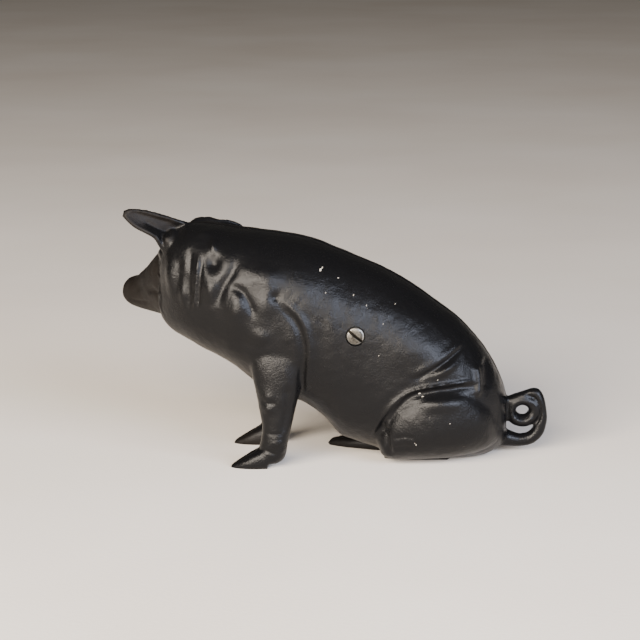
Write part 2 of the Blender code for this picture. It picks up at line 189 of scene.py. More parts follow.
def superellipse(sides: int, squareness: float) -> list[tuple[float, float]]:
    """Points round a unit superellipse.

    Args:
        sides: How many points.
        squareness: 2 is an ellipse, and more is squarer.
    Returns:
        Pairs of (across, up).
    """
    power = 2 / squareness
    points = []
    for i in range(sides):
        angle = math.tau * i / sides
        across, up = math.cos(angle), math.sin(angle)
        points.append((
            math.copysign(abs(across) ** power, across), math.copysign(abs(up) ** power, up)))
    return points


def extruded_loft(name: str, rows: Sequence[Row], squareness: float, sides: int,
                  place: Matrix | None = None) -> bpy.types.Object:
    """A closed form made by extruding one filled ring from station to station.

    Args:
        name: The object's name.
        rows: (along, low, high, half width, offset aside) of each station.
        squareness: Squareness of the ring.
        sides: Points round the ring.
        place: Turns the loft from its own axes into the pattern's.
    Returns:
        The closed loft, in pattern millimetres.
    """
    bpy.ops.object.select_all(action="DESELECT")
    bpy.ops.mesh.primitive_circle_add(vertices=sides, radius=1.0, fill_type="NGON")
    piece = bpy.context.active_object
    piece.name = name
    along, low, high, half, aside = rows[0]
    for vert, (across, up) in zip(piece.data.vertices, superellipse(sides, squareness)):
        vert.co = (along, aside + across * half, (low + high) / 2 + up * (high - low) / 2)
    bpy.ops.object.mode_set(mode="EDIT")
    bpy.ops.mesh.select_all(action="SELECT")
    for before, after in zip(rows, rows[1:]):
        rise = (after[1] + after[2] - before[1] - before[2]) / 2
        shift = (after[0] - before[0], after[4] - before[4], rise)
        centre = (after[0], after[4], (after[1] + after[2]) / 2)
        grow = (1.0, after[3] / before[3], (after[2] - after[1]) / (before[2] - before[1]))
        bpy.ops.mesh.extrude_region_move(TRANSFORM_OT_translate={"value": shift})
        bpy.ops.transform.resize(value=grow, center_override=centre)
    bpy.ops.mesh.select_all(action="SELECT")
    bpy.ops.mesh.normals_make_consistent(inside=False)
    bpy.ops.object.mode_set(mode="OBJECT")
    if place is not None:
        piece.data.transform(place)
    return piece


def ellipsoid(name: str, centre: Sequence[float], axes: Sequence[float],
              turn: float = 0.0) -> bpy.types.Object:
    """A rounded mass.

    Args:
        name: The object's name.
        centre: Its centre in pattern millimetres.
        axes: Its half sizes along X, Y and Z before it is turned.
        turn: Turn about Y, in degrees.
    Returns:
        The mass.
    """
    bpy.ops.object.select_all(action="DESELECT")
    bpy.ops.mesh.primitive_uv_sphere_add(segments=32, ring_count=18, radius=1.0)
    piece = bpy.context.active_object
    piece.name = name
    turned = Matrix.Rotation(math.radians(turn), 4, "Y")
    piece.data.transform(Matrix.Translation(centre) @ turned @ Matrix.Diagonal((*axes, 1.0)))
    return piece


def smoothstep(value: np.ndarray) -> np.ndarray:
    """Ease from 0 to 1 with flat ends, for values that are held between 0 and 1."""
    held = np.clip(value, 0.0, 1.0)
    return held * held * (3.0 - 2.0 * held)


# ---------------------------------------------------------------------------------------------
# The pattern: the pig's masses before any detail
# ---------------------------------------------------------------------------------------------

HEAD_TURN = math.radians(46)
HEAD_ROOT = (-80.0, 0.0)


def head_place() -> Matrix:
    """The head's own axes (ahead, pig's left, up) to the pattern's, with the head turned right."""
    c, s = math.cos(HEAD_TURN), math.sin(HEAD_TURN)
    return Matrix(((-c, -s, 0, HEAD_ROOT[0]), (s, -c, 0, HEAD_ROOT[1]), (0, 0, 1, 0), (0, 0, 0, 1)))


@dataclass
class Pattern:
    """The whole pig as one solid skin.

    Body and head rows are (along, underside, top, half width). Leg rows are (x, height, half
    length, half thickness, out from the leg's middle line).
    """

    body: tuple[Row, ...] = (
        (-115.2, 97.5, 131.0, 2.5), (-113.2, 91.0, 142.0, 11.0), (-107.4, 84.5, 149.0, 20.0),
        (-99.0, 79.5, 153.3, 28.0), (-88.0, 73.5, 154.6, 35.0), (-76.0, 67.5, 153.2, 40.0),
        (-64.0, 60.0, 151.3, 44.0), (-50.0, 49.0, 149.5, 46.5), (-36.0, 42.0, 147.8, 47.0),
        (-22.0, 37.5, 145.4, 47.0), (-10.0, 29.5, 142.0, 46.5), (-2.0, 21.0, 138.6, 46.5),
        (4.0, 14.0, 136.0, 46.0), (14.0, 10.5, 131.9, 46.0), (26.0, 6.5, 127.0, 46.0),
        (38.0, 1.0, 121.0, 46.0), (52.0, -1.0, 112.5, 46.0), (66.0, -1.0, 102.4, 45.0),
        (79.0, -1.0, 92.7, 42.5), (89.8, -0.5, 82.0, 38.5), (98.4, 0.8, 71.0, 33.0),
        (105.8, 4.0, 58.5, 25.0), (110.8, 8.0, 47.0, 16.0), (113.2, 12.5, 38.0, 7.0),
    )
    body_squareness: float = 2.5
    head: tuple[Row, ...] = (
        (-6.0, 86.0, 146.0, 25.0), (6.0, 86.0, 149.0, 26.5), (18.0, 86.0, 147.5, 26.0),
        (30.0, 86.2, 141.0, 23.5), (42.0, 86.8, 134.0, 19.5), (54.0, 87.0, 124.5, 15.5),
        (66.0, 87.2, 115.5, 12.0), (73.0, 87.6, 110.8, 11.0), (78.0, 88.8, 109.2, 11.4),
        (81.5, 91.2, 107.5, 10.2),
    )
    head_squareness: float = 2.2
    front_leg: tuple[Row, ...] = (
        (-36.0, 98.0, 20.0, 8.0, -4.0), (-36.0, 76.0, 20.0, 11.0, -1.5),
        (-36.6, 60.0, 17.1, 11.5, 0.0), (-37.3, 46.0, 13.3, 11.0, 0.5),
        (-37.7, 37.0, 11.5, 9.8, 1.0),
        (-38.0, 27.0, 9.5, 8.6, 1.5), (-39.6, 18.0, 9.0, 8.2, 1.5), (-41.2, 11.0, 9.4, 8.2, 1.0),
        (-43.8, 6.0, 10.4, 8.0, 0.5), (-45.5, 3.6, 9.6, 7.4, 0.0), (-46.5, 2.6, 6.0, 5.0, 0.0),
    )
    left_leg_line: float = -36.0
    right_leg_line: float = 25.0
    # Hooves: (tip, heel, half width, height), and the lines under a hind foot's tip and heel
    front_hoof: Row = (-69.0, -44.0, 8.0, 15.2)
    left_hind_foot: Row = (32.0, 74.0, 7.0, 12.0)
    left_hind_lines: Row = (-13.5, -13.5)
    right_hind_foot: Row = (-5.5, 60.0, 9.5, 8.5)
    right_hind_lines: Row = (22.5, 4.0)
    hind_foot_bluntness: float = 2.2
    sole_depth: float = 2.0
    hoof_edge: float = 0.9
    # Thigh: (station, underside, top, half width, out from the joint plane)
    thigh: tuple[Row, ...] = (
        (27.5, 13.0, 19.5, 3.5, 30.0), (30.0, 6.5, 29.5, 10.0, 29.0), (35.0, 3.6, 41.0, 17.0, 27.5),
        (42.0, 2.8, 49.5, 22.0, 25.5), (52.0, 2.8, 56.0, 25.0, 24.5), (65.0, 3.2, 60.0, 26.0, 24.0),
        (78.0, 4.2, 59.5, 25.0, 23.0), (90.0, 6.5, 53.5, 21.5, 21.5), (99.0, 9.0, 43.5, 16.0, 20.0),
        (105.0, 12.5, 33.0, 9.0, 18.0), (108.0, 16.0, 25.0, 3.0, 17.0),
    )
    thigh_squareness: float = 2.2
    # Ears: (upper rim, lower rim, depth of cup) from the root to the tip, and the cup's direction
    left_ear: tuple[Row, ...] = (
        (-94.0, -4.0, 154.5, -107.5, -11.0, 130.0, 5.0),
        (-102.5, -7.0, 157.4, -113.2, -13.5, 140.5, 5.2),
        (-110.0, -9.0, 160.1, -116.6, -15.5, 146.6, 4.8),
        (-117.5, -11.0, 162.7, -121.6, -16.0, 149.9, 4.0),
        (-124.5, -12.5, 164.5, -128.1, -16.0, 153.0, 3.0),
        (-130.8, -13.5, 165.5, -133.2, -16.0, 156.9, 1.8),
        (-135.2, -14.2, 164.7, -136.2, -15.5, 160.5, 0.8),
        (-136.6, -14.8, 163.2, -136.8, -15.0, 162.2, 0.2),
    )
    left_cup: Row = (0.1, 1.0, 0.0)
    right_ear: tuple[Row, ...] = (
        (-99.0, 8.0, 148.5, -103.0, 14.0, 134.0, 5.0),
        (-95.5, 18.5, 152.4, -101.5, 25.0, 138.0, 5.0),
        (-89.0, 28.0, 153.4, -96.0, 35.5, 138.6, 4.5),
        (-80.5, 36.5, 151.8, -87.5, 43.5, 138.0, 3.2),
        (-72.0, 43.5, 149.4, -77.0, 48.5, 137.6, 1.6),
        (-65.0, 47.0, 146.6, -68.5, 50.0, 138.6, 0.5),
        (-61.5, 48.5, 144.0, -62.5, 49.6, 141.0, 0.0),
    )
    right_cup: Row = (0.8, -0.6, 0.1)
    ear_thickness: float = 3.0
    # Tail: rows of (x, z, share of the wire's thickness)
    tail_wire: float = 4.2
    tail_eye: Row = (124.0, 29.0)
    tail_eye_radii: Row = (8.3, 7.4)
    tail_strand: tuple[Row, ...] = (
        (103.0, 11.5, 1.7), (109.5, 10.8, 1.55), (114.0, 9.8, 1.35), (118.5, 8.8, 1.15),
        (122.8, 8.4, 1.05), (129.4, 9.8, 1.0), (134.0, 13.8, 1.0), (136.2, 19.4, 1.0),
        (136.5, 26.0, 1.0), (135.6, 32.5, 1.0), (133.9, 37.6, 1.0), (131.6, 40.2, 0.95),
        (126.5, 38.5, 0.95), (120.5, 36.1, 1.0), (114.0, 33.5, 1.0), (107.0, 31.0, 1.0),
    )
    tail_webs: tuple[tuple[Row, ...], ...] = (
        ((106.0, 29.0, 1.0), (115.7, 29.0, 1.0)), ((104.0, 23.8, 1.0), (116.5, 25.8, 1.0)),
    )

    @staticmethod
    def inset_rows(rows: Sequence[Row], inset: float) -> list[Row]:
        """Loft rows of a form drawn in on all sides, with the ends that vanish left out.

        Args:
            rows: (along, underside, top, half width) of each station.
            inset: How far the surface is drawn in.
        Returns:
            Smooth rows for extruded_loft.
        """
        return smooth_rows([
            (along, low + inset, high - inset, half - inset, 0.0) for along, low, high, half in rows
            if half - inset > inset], 3)

    def trunk(self, inset: float = 0.0) -> bpy.types.Object:
        """The body, or the core inside it when an inset is given."""
        return extruded_loft("trunk", self.inset_rows(self.body, inset), self.body_squareness, 64)

    def skull(self, inset: float = 0.0) -> bpy.types.Object:
        """The turned head, or the core inside it when an inset is given."""
        rows = self.inset_rows(self.head, inset)
        return extruded_loft("skull", rows, self.head_squareness, 48, head_place())

    def leg_line(self, flank: Flank) -> float:
        """The line, parallel to the joint plane, that a front leg stands on."""
        return self.left_leg_line if flank is Flank.LEFT else self.right_leg_line

    def foreleg(self, flank: Flank) -> bpy.types.Object:
        """A front leg, lofted downwards from inside the shoulder to the sole.

        Args:
            flank: The side that it stands on.
        Returns:
            The closed leg, without its hoof.
        """
        rows = [(-z, x - half, x + half, thick, self.leg_line(flank) + flank.value * out)
                for x, z, half, thick, out in self.front_leg]
        downwards = Matrix(((0, 0, 1, 0), (0, 1, 0, 0), (-1, 0, 0, 0), (0, 0, 0, 1)))
        return extruded_loft("foreleg", smooth_rows(rows, 4), 2.2, 32, downwards)

    def hoof(self, size: Row, tip_line: float, heel_line: float,
             bluntness: float) -> bpy.types.Object:
        """A wedge-shaped hoof.

        Args:
            size: Station of its tip and of its heel, half its width and its height.
            tip_line: The line under its tip.
            heel_line: The line under its heel.
            bluntness: 1 is a straight wedge to a point, and more is rounder at the tip.
        Returns:
            The closed hoof.
        """
        tip, heel, half_width, height = size
        rows: list[Row] = []
        steps = 20
        for i in range(steps + 1):
            t = i / steps
            high = height * (1 - t ** bluntness) ** (1 / bluntness) + self.hoof_edge
            narrowing = (1 - t ** (1.6 + bluntness)) ** (0.5 + 0.3 / bluntness)
            half = half_width * narrowing + self.hoof_edge
            line = heel_line + (tip_line - heel_line) * t
            rows.append((heel + (tip - heel) * t, -self.sole_depth, high, half, line))
        return extruded_loft("hoof", rows, 2.6, 28)

    def ear(self, rims: Sequence[Row], cup_way: Row) -> bpy.types.Object:
        """A cupped leaf: a grid bent between its two rims and given a thickness.

        Args:
            rims: Upper rim, lower rim and depth of cup, from the root to the tip.
            cup_way: The direction in which the cup is hollowed.
        Returns:
            The closed ear.
        """
        route = smooth_rows(rims, 5)
        bpy.ops.object.select_all(action="DESELECT")
        bpy.ops.mesh.primitive_grid_add(x_subdivisions=18, y_subdivisions=len(route) - 1, size=2.0)
        piece = bpy.context.active_object
        way = Vector(cup_way).normalized()
        for vert in piece.data.vertices:
            u, share = vert.co.x, (vert.co.y + 1) / 2
            row = route[round(share * (len(route) - 1))]
            upper, lower = Vector(row[:3]), Vector(row[3:6])
            vert.co = lower.lerp(upper, (u + 1) / 2) + way * (row[6] * (1 - abs(u) ** 2.4))
        solid = piece.modifiers.new("thickness", "SOLIDIFY")
        solid.thickness = self.ear_thickness
        solid.offset = 0.0
        apply_all(piece)
        return piece

    def tail(self) -> list[bpy.types.Object]:
        """The curl: a ring in the joint plane, and the strand that runs under and behind it.

        Returns:
            The curl's strands, each a closed mesh.
        """
        eye_x, eye_z = self.tail_eye
        wide, tall = self.tail_eye_radii
        turns = [math.tau * i / 40 for i in range(41)]
        eye = [(eye_x + wide * math.cos(a), eye_z + tall * math.sin(a), 1.0) for a in turns]
        strands = []
        webs = ((web, 2) for web in self.tail_webs)
        for points, steps in ((eye, 1), (self.tail_strand, 6), *webs):
            curve = bpy.data.curves.new("strand", "CURVE")
            curve.dimensions = "3D"
            curve.bevel_depth = self.tail_wire
            curve.bevel_resolution = 6
            curve.use_fill_caps = True
            spline = curve.splines.new("POLY")
            route = smooth_rows(points, steps)
            spline.points.add(len(route) - 1)
            for point, (x, z, share) in zip(spline.points, route):
                point.co = (x, 0.0, z, 1.0)
                point.radius = share
            strand = bpy.data.objects.new("strand", curve)
            bpy.context.scene.collection.objects.link(strand)
            select_only(strand)
            bpy.ops.object.convert(target="MESH")
            strands.append(bpy.context.view_layer.objects.active)
        return strands

    def masses(self) -> list[bpy.types.Object]:
        """Thighs, cheeks and the ear's root, which stand out from the lofts.

        Returns:
            The masses, each a closed mesh.
        """
        pieces = []
        for flank in Flank:
            rows = [(x, low, high, half, flank.value * out)
                    for x, low, high, half, out in self.thigh]
            pieces.append(extruded_loft("thigh", smooth_rows(rows, 3), self.thigh_squareness, 48))
        for aside in (13.0, -13.0):
            cheek = ellipsoid("cheek", (16.0, aside, 106.0), (17.0, 13.5, 17.0))
            cheek.data.transform(head_place())
            pieces.append(cheek)
        pieces.append(ellipsoid("ear_root", (-106.0, -9.5, 141.5), (6.3, 6.5, 10.5), 14))
        return pieces

    def skin(self) -> bpy.types.Object:
        """All the masses joined into one even skin, in pattern millimetres.

        Returns:
            A closed quad skin whose faces are about CLAY_GRID across.
        """
        pieces = [self.trunk(), self.skull(), self.ear(self.left_ear, self.left_cup),
                  self.ear(self.right_ear, self.right_cup)]
        for flank in Flank:
            pieces.append(self.foreleg(flank))
            line = self.leg_line(flank)
            pieces.append(self.hoof(self.front_hoof, line, line, 1.0))
        for size, lines in ((self.left_hind_foot, self.left_hind_lines),
                            (self.right_hind_foot, self.right_hind_lines)):
            pieces.append(self.hoof(size, *lines, self.hind_foot_bluntness))
        pieces += self.tail() + self.masses()
        skin = join(pieces, "pig_skin")
        remesh = skin.modifiers.new("one_skin", "REMESH")
        remesh.mode = "VOXEL"
        remesh.voxel_size = CLAY_GRID
        blend = skin.modifiers.new("blend", "SMOOTH")
        blend.factor = 0.5
        blend.iterations = 10
        apply_all(skin)
        return skin


# ---------------------------------------------------------------------------------------------
# The clay: strokes that move the skin
# ---------------------------------------------------------------------------------------------

@dataclass(frozen=True)
class Aspect:
    """A side from which the sculptor draws on the skin.

    Args:
        right: Drawn first axis, in pattern axes.
        up: Drawn second axis.
        toward: Direction to the sculptor.
        origin: Where the drawn axes start.
        least: Least distance towards the sculptor that a touched point has.
        most: Greatest distance towards the sculptor that a touched point has.
    """

    right: Row
    up: Row
    toward: Row
    origin: Row = (0.0, 0.0, 0.0)
    least: float = -1e6
    most: float = 1e6


def flank_aspect(flank: Flank) -> Aspect:
    """The pig's side, drawn as (x, height)."""
    return Aspect((1, 0, 0), (0, 0, 1), (0, flank.value, 0), least=1.0)


def head_aspect(right: Row, up: Row, toward: Row, least: float = -1e6,
                most: float = 1e6) -> Aspect:
    """An aspect given in the head's own axes: ahead, pig's left, up.

    Args:
        right: Drawn first axis.
        up: Drawn second axis.
        toward: Direction to the sculptor.
        least: Least distance towards the sculptor that a touched point has.
        most: Greatest distance towards the sculptor that a touched point has.
    Returns:
        The aspect in pattern axes, starting at the head's root.
    """
    turn = head_place().to_3x3()
    axes = [tuple(turn @ Vector(axis)) for axis in (right, up, toward)]
    return Aspect(axes[0], axes[1], axes[2], (HEAD_ROOT[0], HEAD_ROOT[1], 0.0), least, most)


def cheek_aspect(flank: Flank) -> Aspect:
    """A side of the head, drawn as (along the head, height)."""
    return head_aspect((1, 0, 0), (0, 0, 1), (0, -flank.value, 0), 3.0, 30.0)


SNOUT_ASPECT = head_aspect((0, 1, 0), (0, 0, 1), (1, 0, 0), 70.0)
BROW_ASPECT = head_aspect((0, 1, 0), (1, 0, 0), (0.45, 0, 0.89))
TOP_ASPECT = Aspect((1, 0, 0), (0, 1, 0), (0, 0, 1))


class Clay:
    """The skin's points as arrays, and the strokes that move them along their normals."""

    def __init__(self, piece: bpy.types.Object) -> None:
        """Read the skin's points and edges.

        Args:
            piece: The skin.
        """
        self.piece = piece
        mesh = piece.data
        self.places = np.empty(len(mesh.vertices) * 3, dtype=np.float32)
        mesh.vertices.foreach_get("co", self.places)
        self.places = self.places.reshape(-1, 3).astype(np.float64)
        self.normals = np.empty_like(self.places)
        edges = np.empty(len(mesh.edges) * 2, dtype=np.int32)
        mesh.edges.foreach_get("vertices", edges)
        self.edges = edges.reshape(-1, 2)
        self.settle()

    def settle(self) -> None:
        """Write the points to the mesh and read the normals of the new surface."""
        mesh = self.piece.data
        mesh.vertices.foreach_set("co", self.places.astype(np.float32).ravel())
        mesh.update()
        normals = np.empty(len(self.places) * 3, dtype=np.float32)
        mesh.vertices.foreach_get("normal", normals)
        self.normals = normals.reshape(-1, 3).astype(np.float64)

    def seen(self, aspect: Aspect) -> tuple[np.ndarray, np.ndarray, np.ndarray]:
        """The skin as drawn from one aspect.

        Args:
            aspect: The side to draw from.
        Returns:
            Drawn first and second places of every point, and how far each one faces the sculptor.
        """
        offset = self.places - np.array(aspect.origin)
        toward = np.array(aspect.toward, dtype=float)
        grazing, full = 0.02, 0.32
        facing = smoothstep((self.normals @ toward - grazing) / (full - grazing))
        depth = offset @ toward
        facing[(depth < aspect.least) | (depth > aspect.most)] = 0.0
        return offset @ np.array(aspect.right, float), offset @ np.array(aspect.up, float), facing

    def push(self, amount: np.ndarray) -> None:
        """Move every point along its normal by its own amount, in millimetres."""
        self.places += self.normals * amount[:, None]

    def along(self, aspect: Aspect, points: Points, reach: float) -> tuple[np.ndarray, ...]:
        """Where points lie beside a smooth line.

        Args:
            aspect: The side that the line is drawn from.
            points: The line's drawn points.
            reach: How far from the line to look.
        Returns:
            Indices of the points found, their distance with its sign (left of the line is
            positive), how far along they are from 0 to 1, and their weight.
        """
        route = np.array(smooth_rows([tuple(map(float, p)) for p in points], LINE_STEPS))
        u, v, facing = self.seen(aspect)
        near = np.flatnonzero(
            (facing > 0) & (u > route[:, 0].min() - reach) & (u < route[:, 0].max() + reach)
            & (v > route[:, 1].min() - reach) & (v < route[:, 1].max() + reach))
        drawn = np.stack([u[near], v[near]], axis=1)
        gaps = drawn[:, None, :] - route[None, :, :]
        lengths = np.sqrt((gaps ** 2).sum(axis=2))
        nearest = lengths.argmin(axis=1)
        rows = np.arange(len(near))
        distance = lengths[rows, nearest]
        tangent = np.gradient(route, axis=0)[nearest]
        gap = gaps[rows, nearest]
        sign = np.sign(tangent[:, 0] * gap[:, 1] - tangent[:, 1] * gap[:, 0])
        strides = np.sqrt((np.diff(route, axis=0) ** 2).sum(axis=1))
        steps = np.concatenate([[0.0], np.cumsum(strides)])
        signed = distance * np.where(sign == 0, 1, sign)
        return near, signed, steps[nearest] / steps[-1], facing[near]

    def stroke(self, aspect: Aspect, points: Points, profile: Callable[[np.ndarray], np.ndarray],
               reach: float, ends: float = 0.2) -> None:
        """Move the skin beside a line by a profile across it.

        Args:
            aspect: The side that the line is drawn from.
            points: The line's drawn points.
            profile: Height for a signed distance from the line, in millimetres.
            reach: Distance at which the profile is flat.
            ends: The share of the line over which each end fades out.
        """
        near, distance, share, weight = self.along(aspect, points, reach)
        fade = smoothstep(np.minimum(share, 1 - share) / max(ends, 1e-3)) if ends > 0 else 1.0
        amount = np.zeros(len(self.places))
        amount[near] = profile(distance) * fade * weight
        self.push(amount)

    def groove(self, aspect: Aspect, points: Points, width: float, depth: float,
               ends: float = 0.2) -> None:
        """A soft valley, or a ridge where the depth is negative."""
        self.stroke(aspect, points, lambda d: -depth * np.exp(-(d / width) ** 2), 3 * width, ends)

    def lip(self, aspect: Aspect, points: Points, height: float, soft: float, crease: float,
            drop: float, ends: float = 0.2) -> None:
        """A fold of skin: full on the left of the line, with a crease cut under its right side.

        Args:
            aspect: The side that the line is drawn from.
            points: The line's drawn points.
            height: How far the fold stands out.
            soft: How far the fold's fullness runs back from its edge.
            crease: Width of the crease.
            drop: Depth of the crease.
            ends: The share of the line over which each end fades out.
        """
        def profile(distance: np.ndarray) -> np.ndarray:
            full = height * np.exp(-((distance - soft * 0.3) / soft) ** 2)
            full = full * smoothstep((distance + crease * 0.5) / (crease * 1.2))
            cut = -drop * np.exp(-((distance + crease) / crease) ** 2)
            return full + cut
        self.stroke(aspect, points, profile, 3 * max(soft, crease), ends)

    def mound(self, aspect: Aspect, centre: tuple[float, float], radii: tuple[float, float],
              height: float, tilt: float = 0.0) -> None:
        """A smooth oval swelling, or a hollow where the height is negative.

        Args:
            aspect: The side that it is drawn from.
            centre: Its drawn centre.
            radii: Its drawn half sizes.
            height: How far it stands out.
            tilt: Turn of its first half size from the drawn first axis, in degrees.
        """
        u, v, facing = self.seen(aspect)
        c, s = math.cos(math.radians(tilt)), math.sin(math.radians(tilt))
        du, dv = u - centre[0], v - centre[1]
        along, across = du * c + dv * s, dv * c - du * s
        spread = (along / radii[0]) ** 2 + (across / radii[1]) ** 2
        self.push(height * np.exp(-1.6 * spread) * facing * (spread < 6))

    def relax(self, rounds: int, factor: float, weight: np.ndarray | None = None) -> None:
        """Even out the skin by moving each point towards its neighbours.

        Args:
            rounds: How many times.
            factor: Share of the way to go each time.
            weight: Optional share for each point.
        """
        count = len(self.places)
        ends = np.concatenate([self.edges[:, 0], self.edges[:, 1]])
        others = np.concatenate([self.edges[:, 1], self.edges[:, 0]])
        valence = np.maximum(np.bincount(ends, minlength=count), 1)
        share = factor if weight is None else (factor * weight)[:, None]
        for _ in range(rounds):
            mean = np.stack([
                np.bincount(ends, weights=self.places[others, axis], minlength=count) / valence
                for axis in range(3)], axis=1)
            self.places += (mean - self.places) * share

    def lumps(self, size: float, height: float, seed: float) -> None:
        """Unevenness of a hand-rammed sand mould, as smooth noise of one size.

        Args:
            size: How far apart the lumps are.
            height: How high they are.
            seed: Where in the noise to begin.
        """
        amount = np.array([
            noise.noise((x / size + seed, y / size, z / size)) for x, y, z in self.places])
        self.push(height * amount)


@dataclass
class Sculptor:
    """Every stroke of detail on the pig, side by side, head, ears, feet and tail."""

    clay: Clay
    pattern: Pattern

    def work(self) -> None:
        """Do all the strokes in order, settling the surface between groups."""
        for flank in Flank:
            self.neck(flank)
            self.shoulder(flank)
        self.clay.settle()
        for flank in Flank:
            self.haunch(flank)
            self.foreleg(flank)
            self.belly(flank)
        self.clay.settle()
        self.face()
        self.clay.settle()
        self.snout()
        self.ears()
        self.feet()
        self.tail()
        self.clay.settle()
        self.clay.relax(1, 0.4)
        self.back_seam()
        self.clay.lumps(15.0, 0.35, 3.0)
        self.clay.lumps(5.0, 0.16, 11.0)
        self.clay.settle()

    def neck(self, flank: Flank) -> None:
        """Cheek, the upright neck folds and the hollow behind the ear.

        Args:
            flank: The side to work.
        """
        side, clay = flank_aspect(flank), self.clay
        # The head is turned to the right, so the right side's folds are squeezed deeper.
        deeper = 1.0 if flank is Flank.LEFT else 1.5
        clay.mound(side, (-106, 124), (4.5, 15), 2.4)
        clay.groove(side, [(-101.0, 136), (-100.5, 127), (-101.5, 120), (-102.5, 112)], 1.8, 0.5)
        clay.mound(side, (-98, 113), (3.5, 8), 1.3, 5)
        clay.groove(side, [(-92.8, 144), (-93.6, 130), (-94.4, 118), (-94.4, 101)], 2.2,
                    1.2 * deeper)
        clay.groove(side, [(-87.4, 142), (-88.4, 130), (-89.8, 116), (-91.0, 101)], 0.9, -0.9)
        clay.groove(side, [(-85.2, 139), (-86.4, 127), (-87.4, 114), (-88.4, 103)], 1.3,
                    0.8 * deeper)
        clay.mound(side, (-80.0, 117), (6.0, 12), 2.2, 10)
        clay.mound(side, (-78.0, 134), (6.0, 6.5), -2.6)
        clay.mound(side, (-78.4, 144), (3.2, 5), 2.0)
        clay.mound(side, (-84, 150.5), (6, 2.5), 1.3)
        clay.groove(side, [(-61.5, 141), (-63.6, 134.6), (-67.0, 128), (-70.7, 122), (-74.0, 116),
                           (-77.1, 109.6), (-81.0, 104)], 3.4, 1.9 * deeper, 0.3)

    def shoulder(self, flank: Flank) -> None:
        """Shoulder point, blade, and the skin fold that hangs behind the elbow.

        Args:
            flank: The side to work.
        """
        side, clay = flank_aspect(flank), self.clay
        clay.mound(side, (-63.5, 105), (8.5, 12.0), 2.8)
        clay.groove(side, [(-70.0, 115.5), (-65.5, 118.8), (-60.4, 117.5), (-56.5, 112.2),
                           (-53.3, 105), (-52.0, 97)], 2.7, 1.7, 0.35)
        clay.mound(side, (-46, 127), (16, 8.5), 1.8, -14)
        clay.mound(side, (-43.5, 111), (7, 13), 1.4, -10)
        clay.mound(side, (-48, 88), (7, 5.5), 1.4)
        clay.mound(side, (-60, 84), (9, 7), -1.2)
        clay.mound(side, (-38.5, 114), (3.6, 3.6), -1.6)
        elbow = [(-37.2, 113.5), (-33, 109.2), (-28.8, 105.0), (-25, 101.0), (-22.0, 96.0),
                 (-19.8, 89.5), (-18.6, 82), (-18.5, 74), (-19.2, 66), (-19.9, 58), (-20.4, 46)]
        clay.lip(side, elbow, 1.2, 3.0, 2.4, 1.5, 0.25)
        clay.groove(side, [(x - 8.5, z - 2) for x, z in elbow[4:-2]], 3.6, -0.5, 0.3)

    def haunch(self, flank: Flank) -> None:
        """Hip fold, the long fold over the thigh, and the wrinkles of the hock.

        Args:
            flank: The side to work.
        """
        side, clay = flank_aspect(flank), self.clay
        clay.mound(side, (50, 80), (24, 15), 1.4, -30)
        hip = [(87, 82), (81.8, 78.5), (75.5, 74.5), (69.9, 70.6), (60.2, 65.2), (53.2, 61.5),
               (45, 60)]
        clay.groove(side, [(x - 1.5, z + 3.0) for x, z in hip], 3.0, -0.6, 0.25)
        clay.groove(side, hip, 1.7, 1.5, 0.25)
        clay.mound(side, (70.5, 65.8), (8.5, 2.8), 2.0, 32)
        thigh = [(92, 57.3), (83.6, 57.6), (76.5, 57.3), (69.9, 56.7), (62, 55.8), (55.8, 54.6),
                 (50, 53.2), (46.3, 51.6), (41.2, 48.2), (37.0, 44.3), (33, 39.0), (29.6, 33.8),
                 (26.8, 28), (24.6, 22.5), (23.2, 15)]
        clay.groove(side, thigh, 1.05, -1.2, 0.12)
        clay.groove(side, [(x + 1.6, z - 3.6) for x, z in thigh[:-1]], 2.0, 1.8, 0.15)
        clay.groove(side, [(x - 2.2, z + 3.8) for x, z in thigh[2:-2]], 2.4, 0.35, 0.2)
        clay.groove(side, [(45.5, 48.0), (40.8, 44.6), (37.4, 40.4), (34.6, 35.5), (33.0, 30.0),
                           (32.4, 24.0)], 1.3, -1.2)
        clay.mound(side, (68, 44.5), (19, 5.5), 1.9)
        clay.groove(side, [(89.8, 68), (91.6, 61), (92.0, 54), (91.2, 46)], 2.0, -2.0)
        clay.groove(side, [(97.0, 70), (98.4, 60), (98.2, 50)], 2.5, 0.9)
        clay.groove(side, [(32.0, 30), (32.6, 23), (33.5, 16), (35.5, 8)], 2.0, 2.0, 0.15)
        clay.groove(side, [(36.4, 21), (44, 22.8), (52, 22.4)], 1.3, 0.6)
        clay.groove(side, [(37.0, 14), (42.5, 15.4), (49, 15.6)], 1.3, 0.5)

    def foreleg(self, flank: Flank) -> None:
        """Knee, tendon and fetlock.

        Args:
            flank: The side to work.
        """
        side, clay = flank_aspect(flank), self.clay
        clay.mound(side, (-43.5, 49), (4.0, 4.0), 1.0)
        clay.mound(side, (-43.5, 40.5), (4.0, 3.8), 1.1)
        clay.groove(side, [(-48, 45.2), (-43, 44.6), (-38, 45.4)], 1.1, 0.8)
        clay.groove(side, [(-31.5, 58), (-31.0, 44), (-33.2, 31), (-35.0, 22)], 2.0, 1.0)
        clay.mound(side, (-37.5, 17.5), (5.0, 3.4), 0.9)
        clay.groove(side, [(-46, 25), (-40, 24), (-34, 24.6)], 1.1, 0.6)

    def belly(self, flank: Flank) -> None:
        """The flank's slow hollow between ribs and haunch.

        Args:
            flank: The side to work.
        """
        side, clay = flank_aspect(flank), self.clay
        clay.mound(side, (8, 46), (16, 17), -1.2)
        clay.mound(side, (2, 92), (28, 26), 0.8)

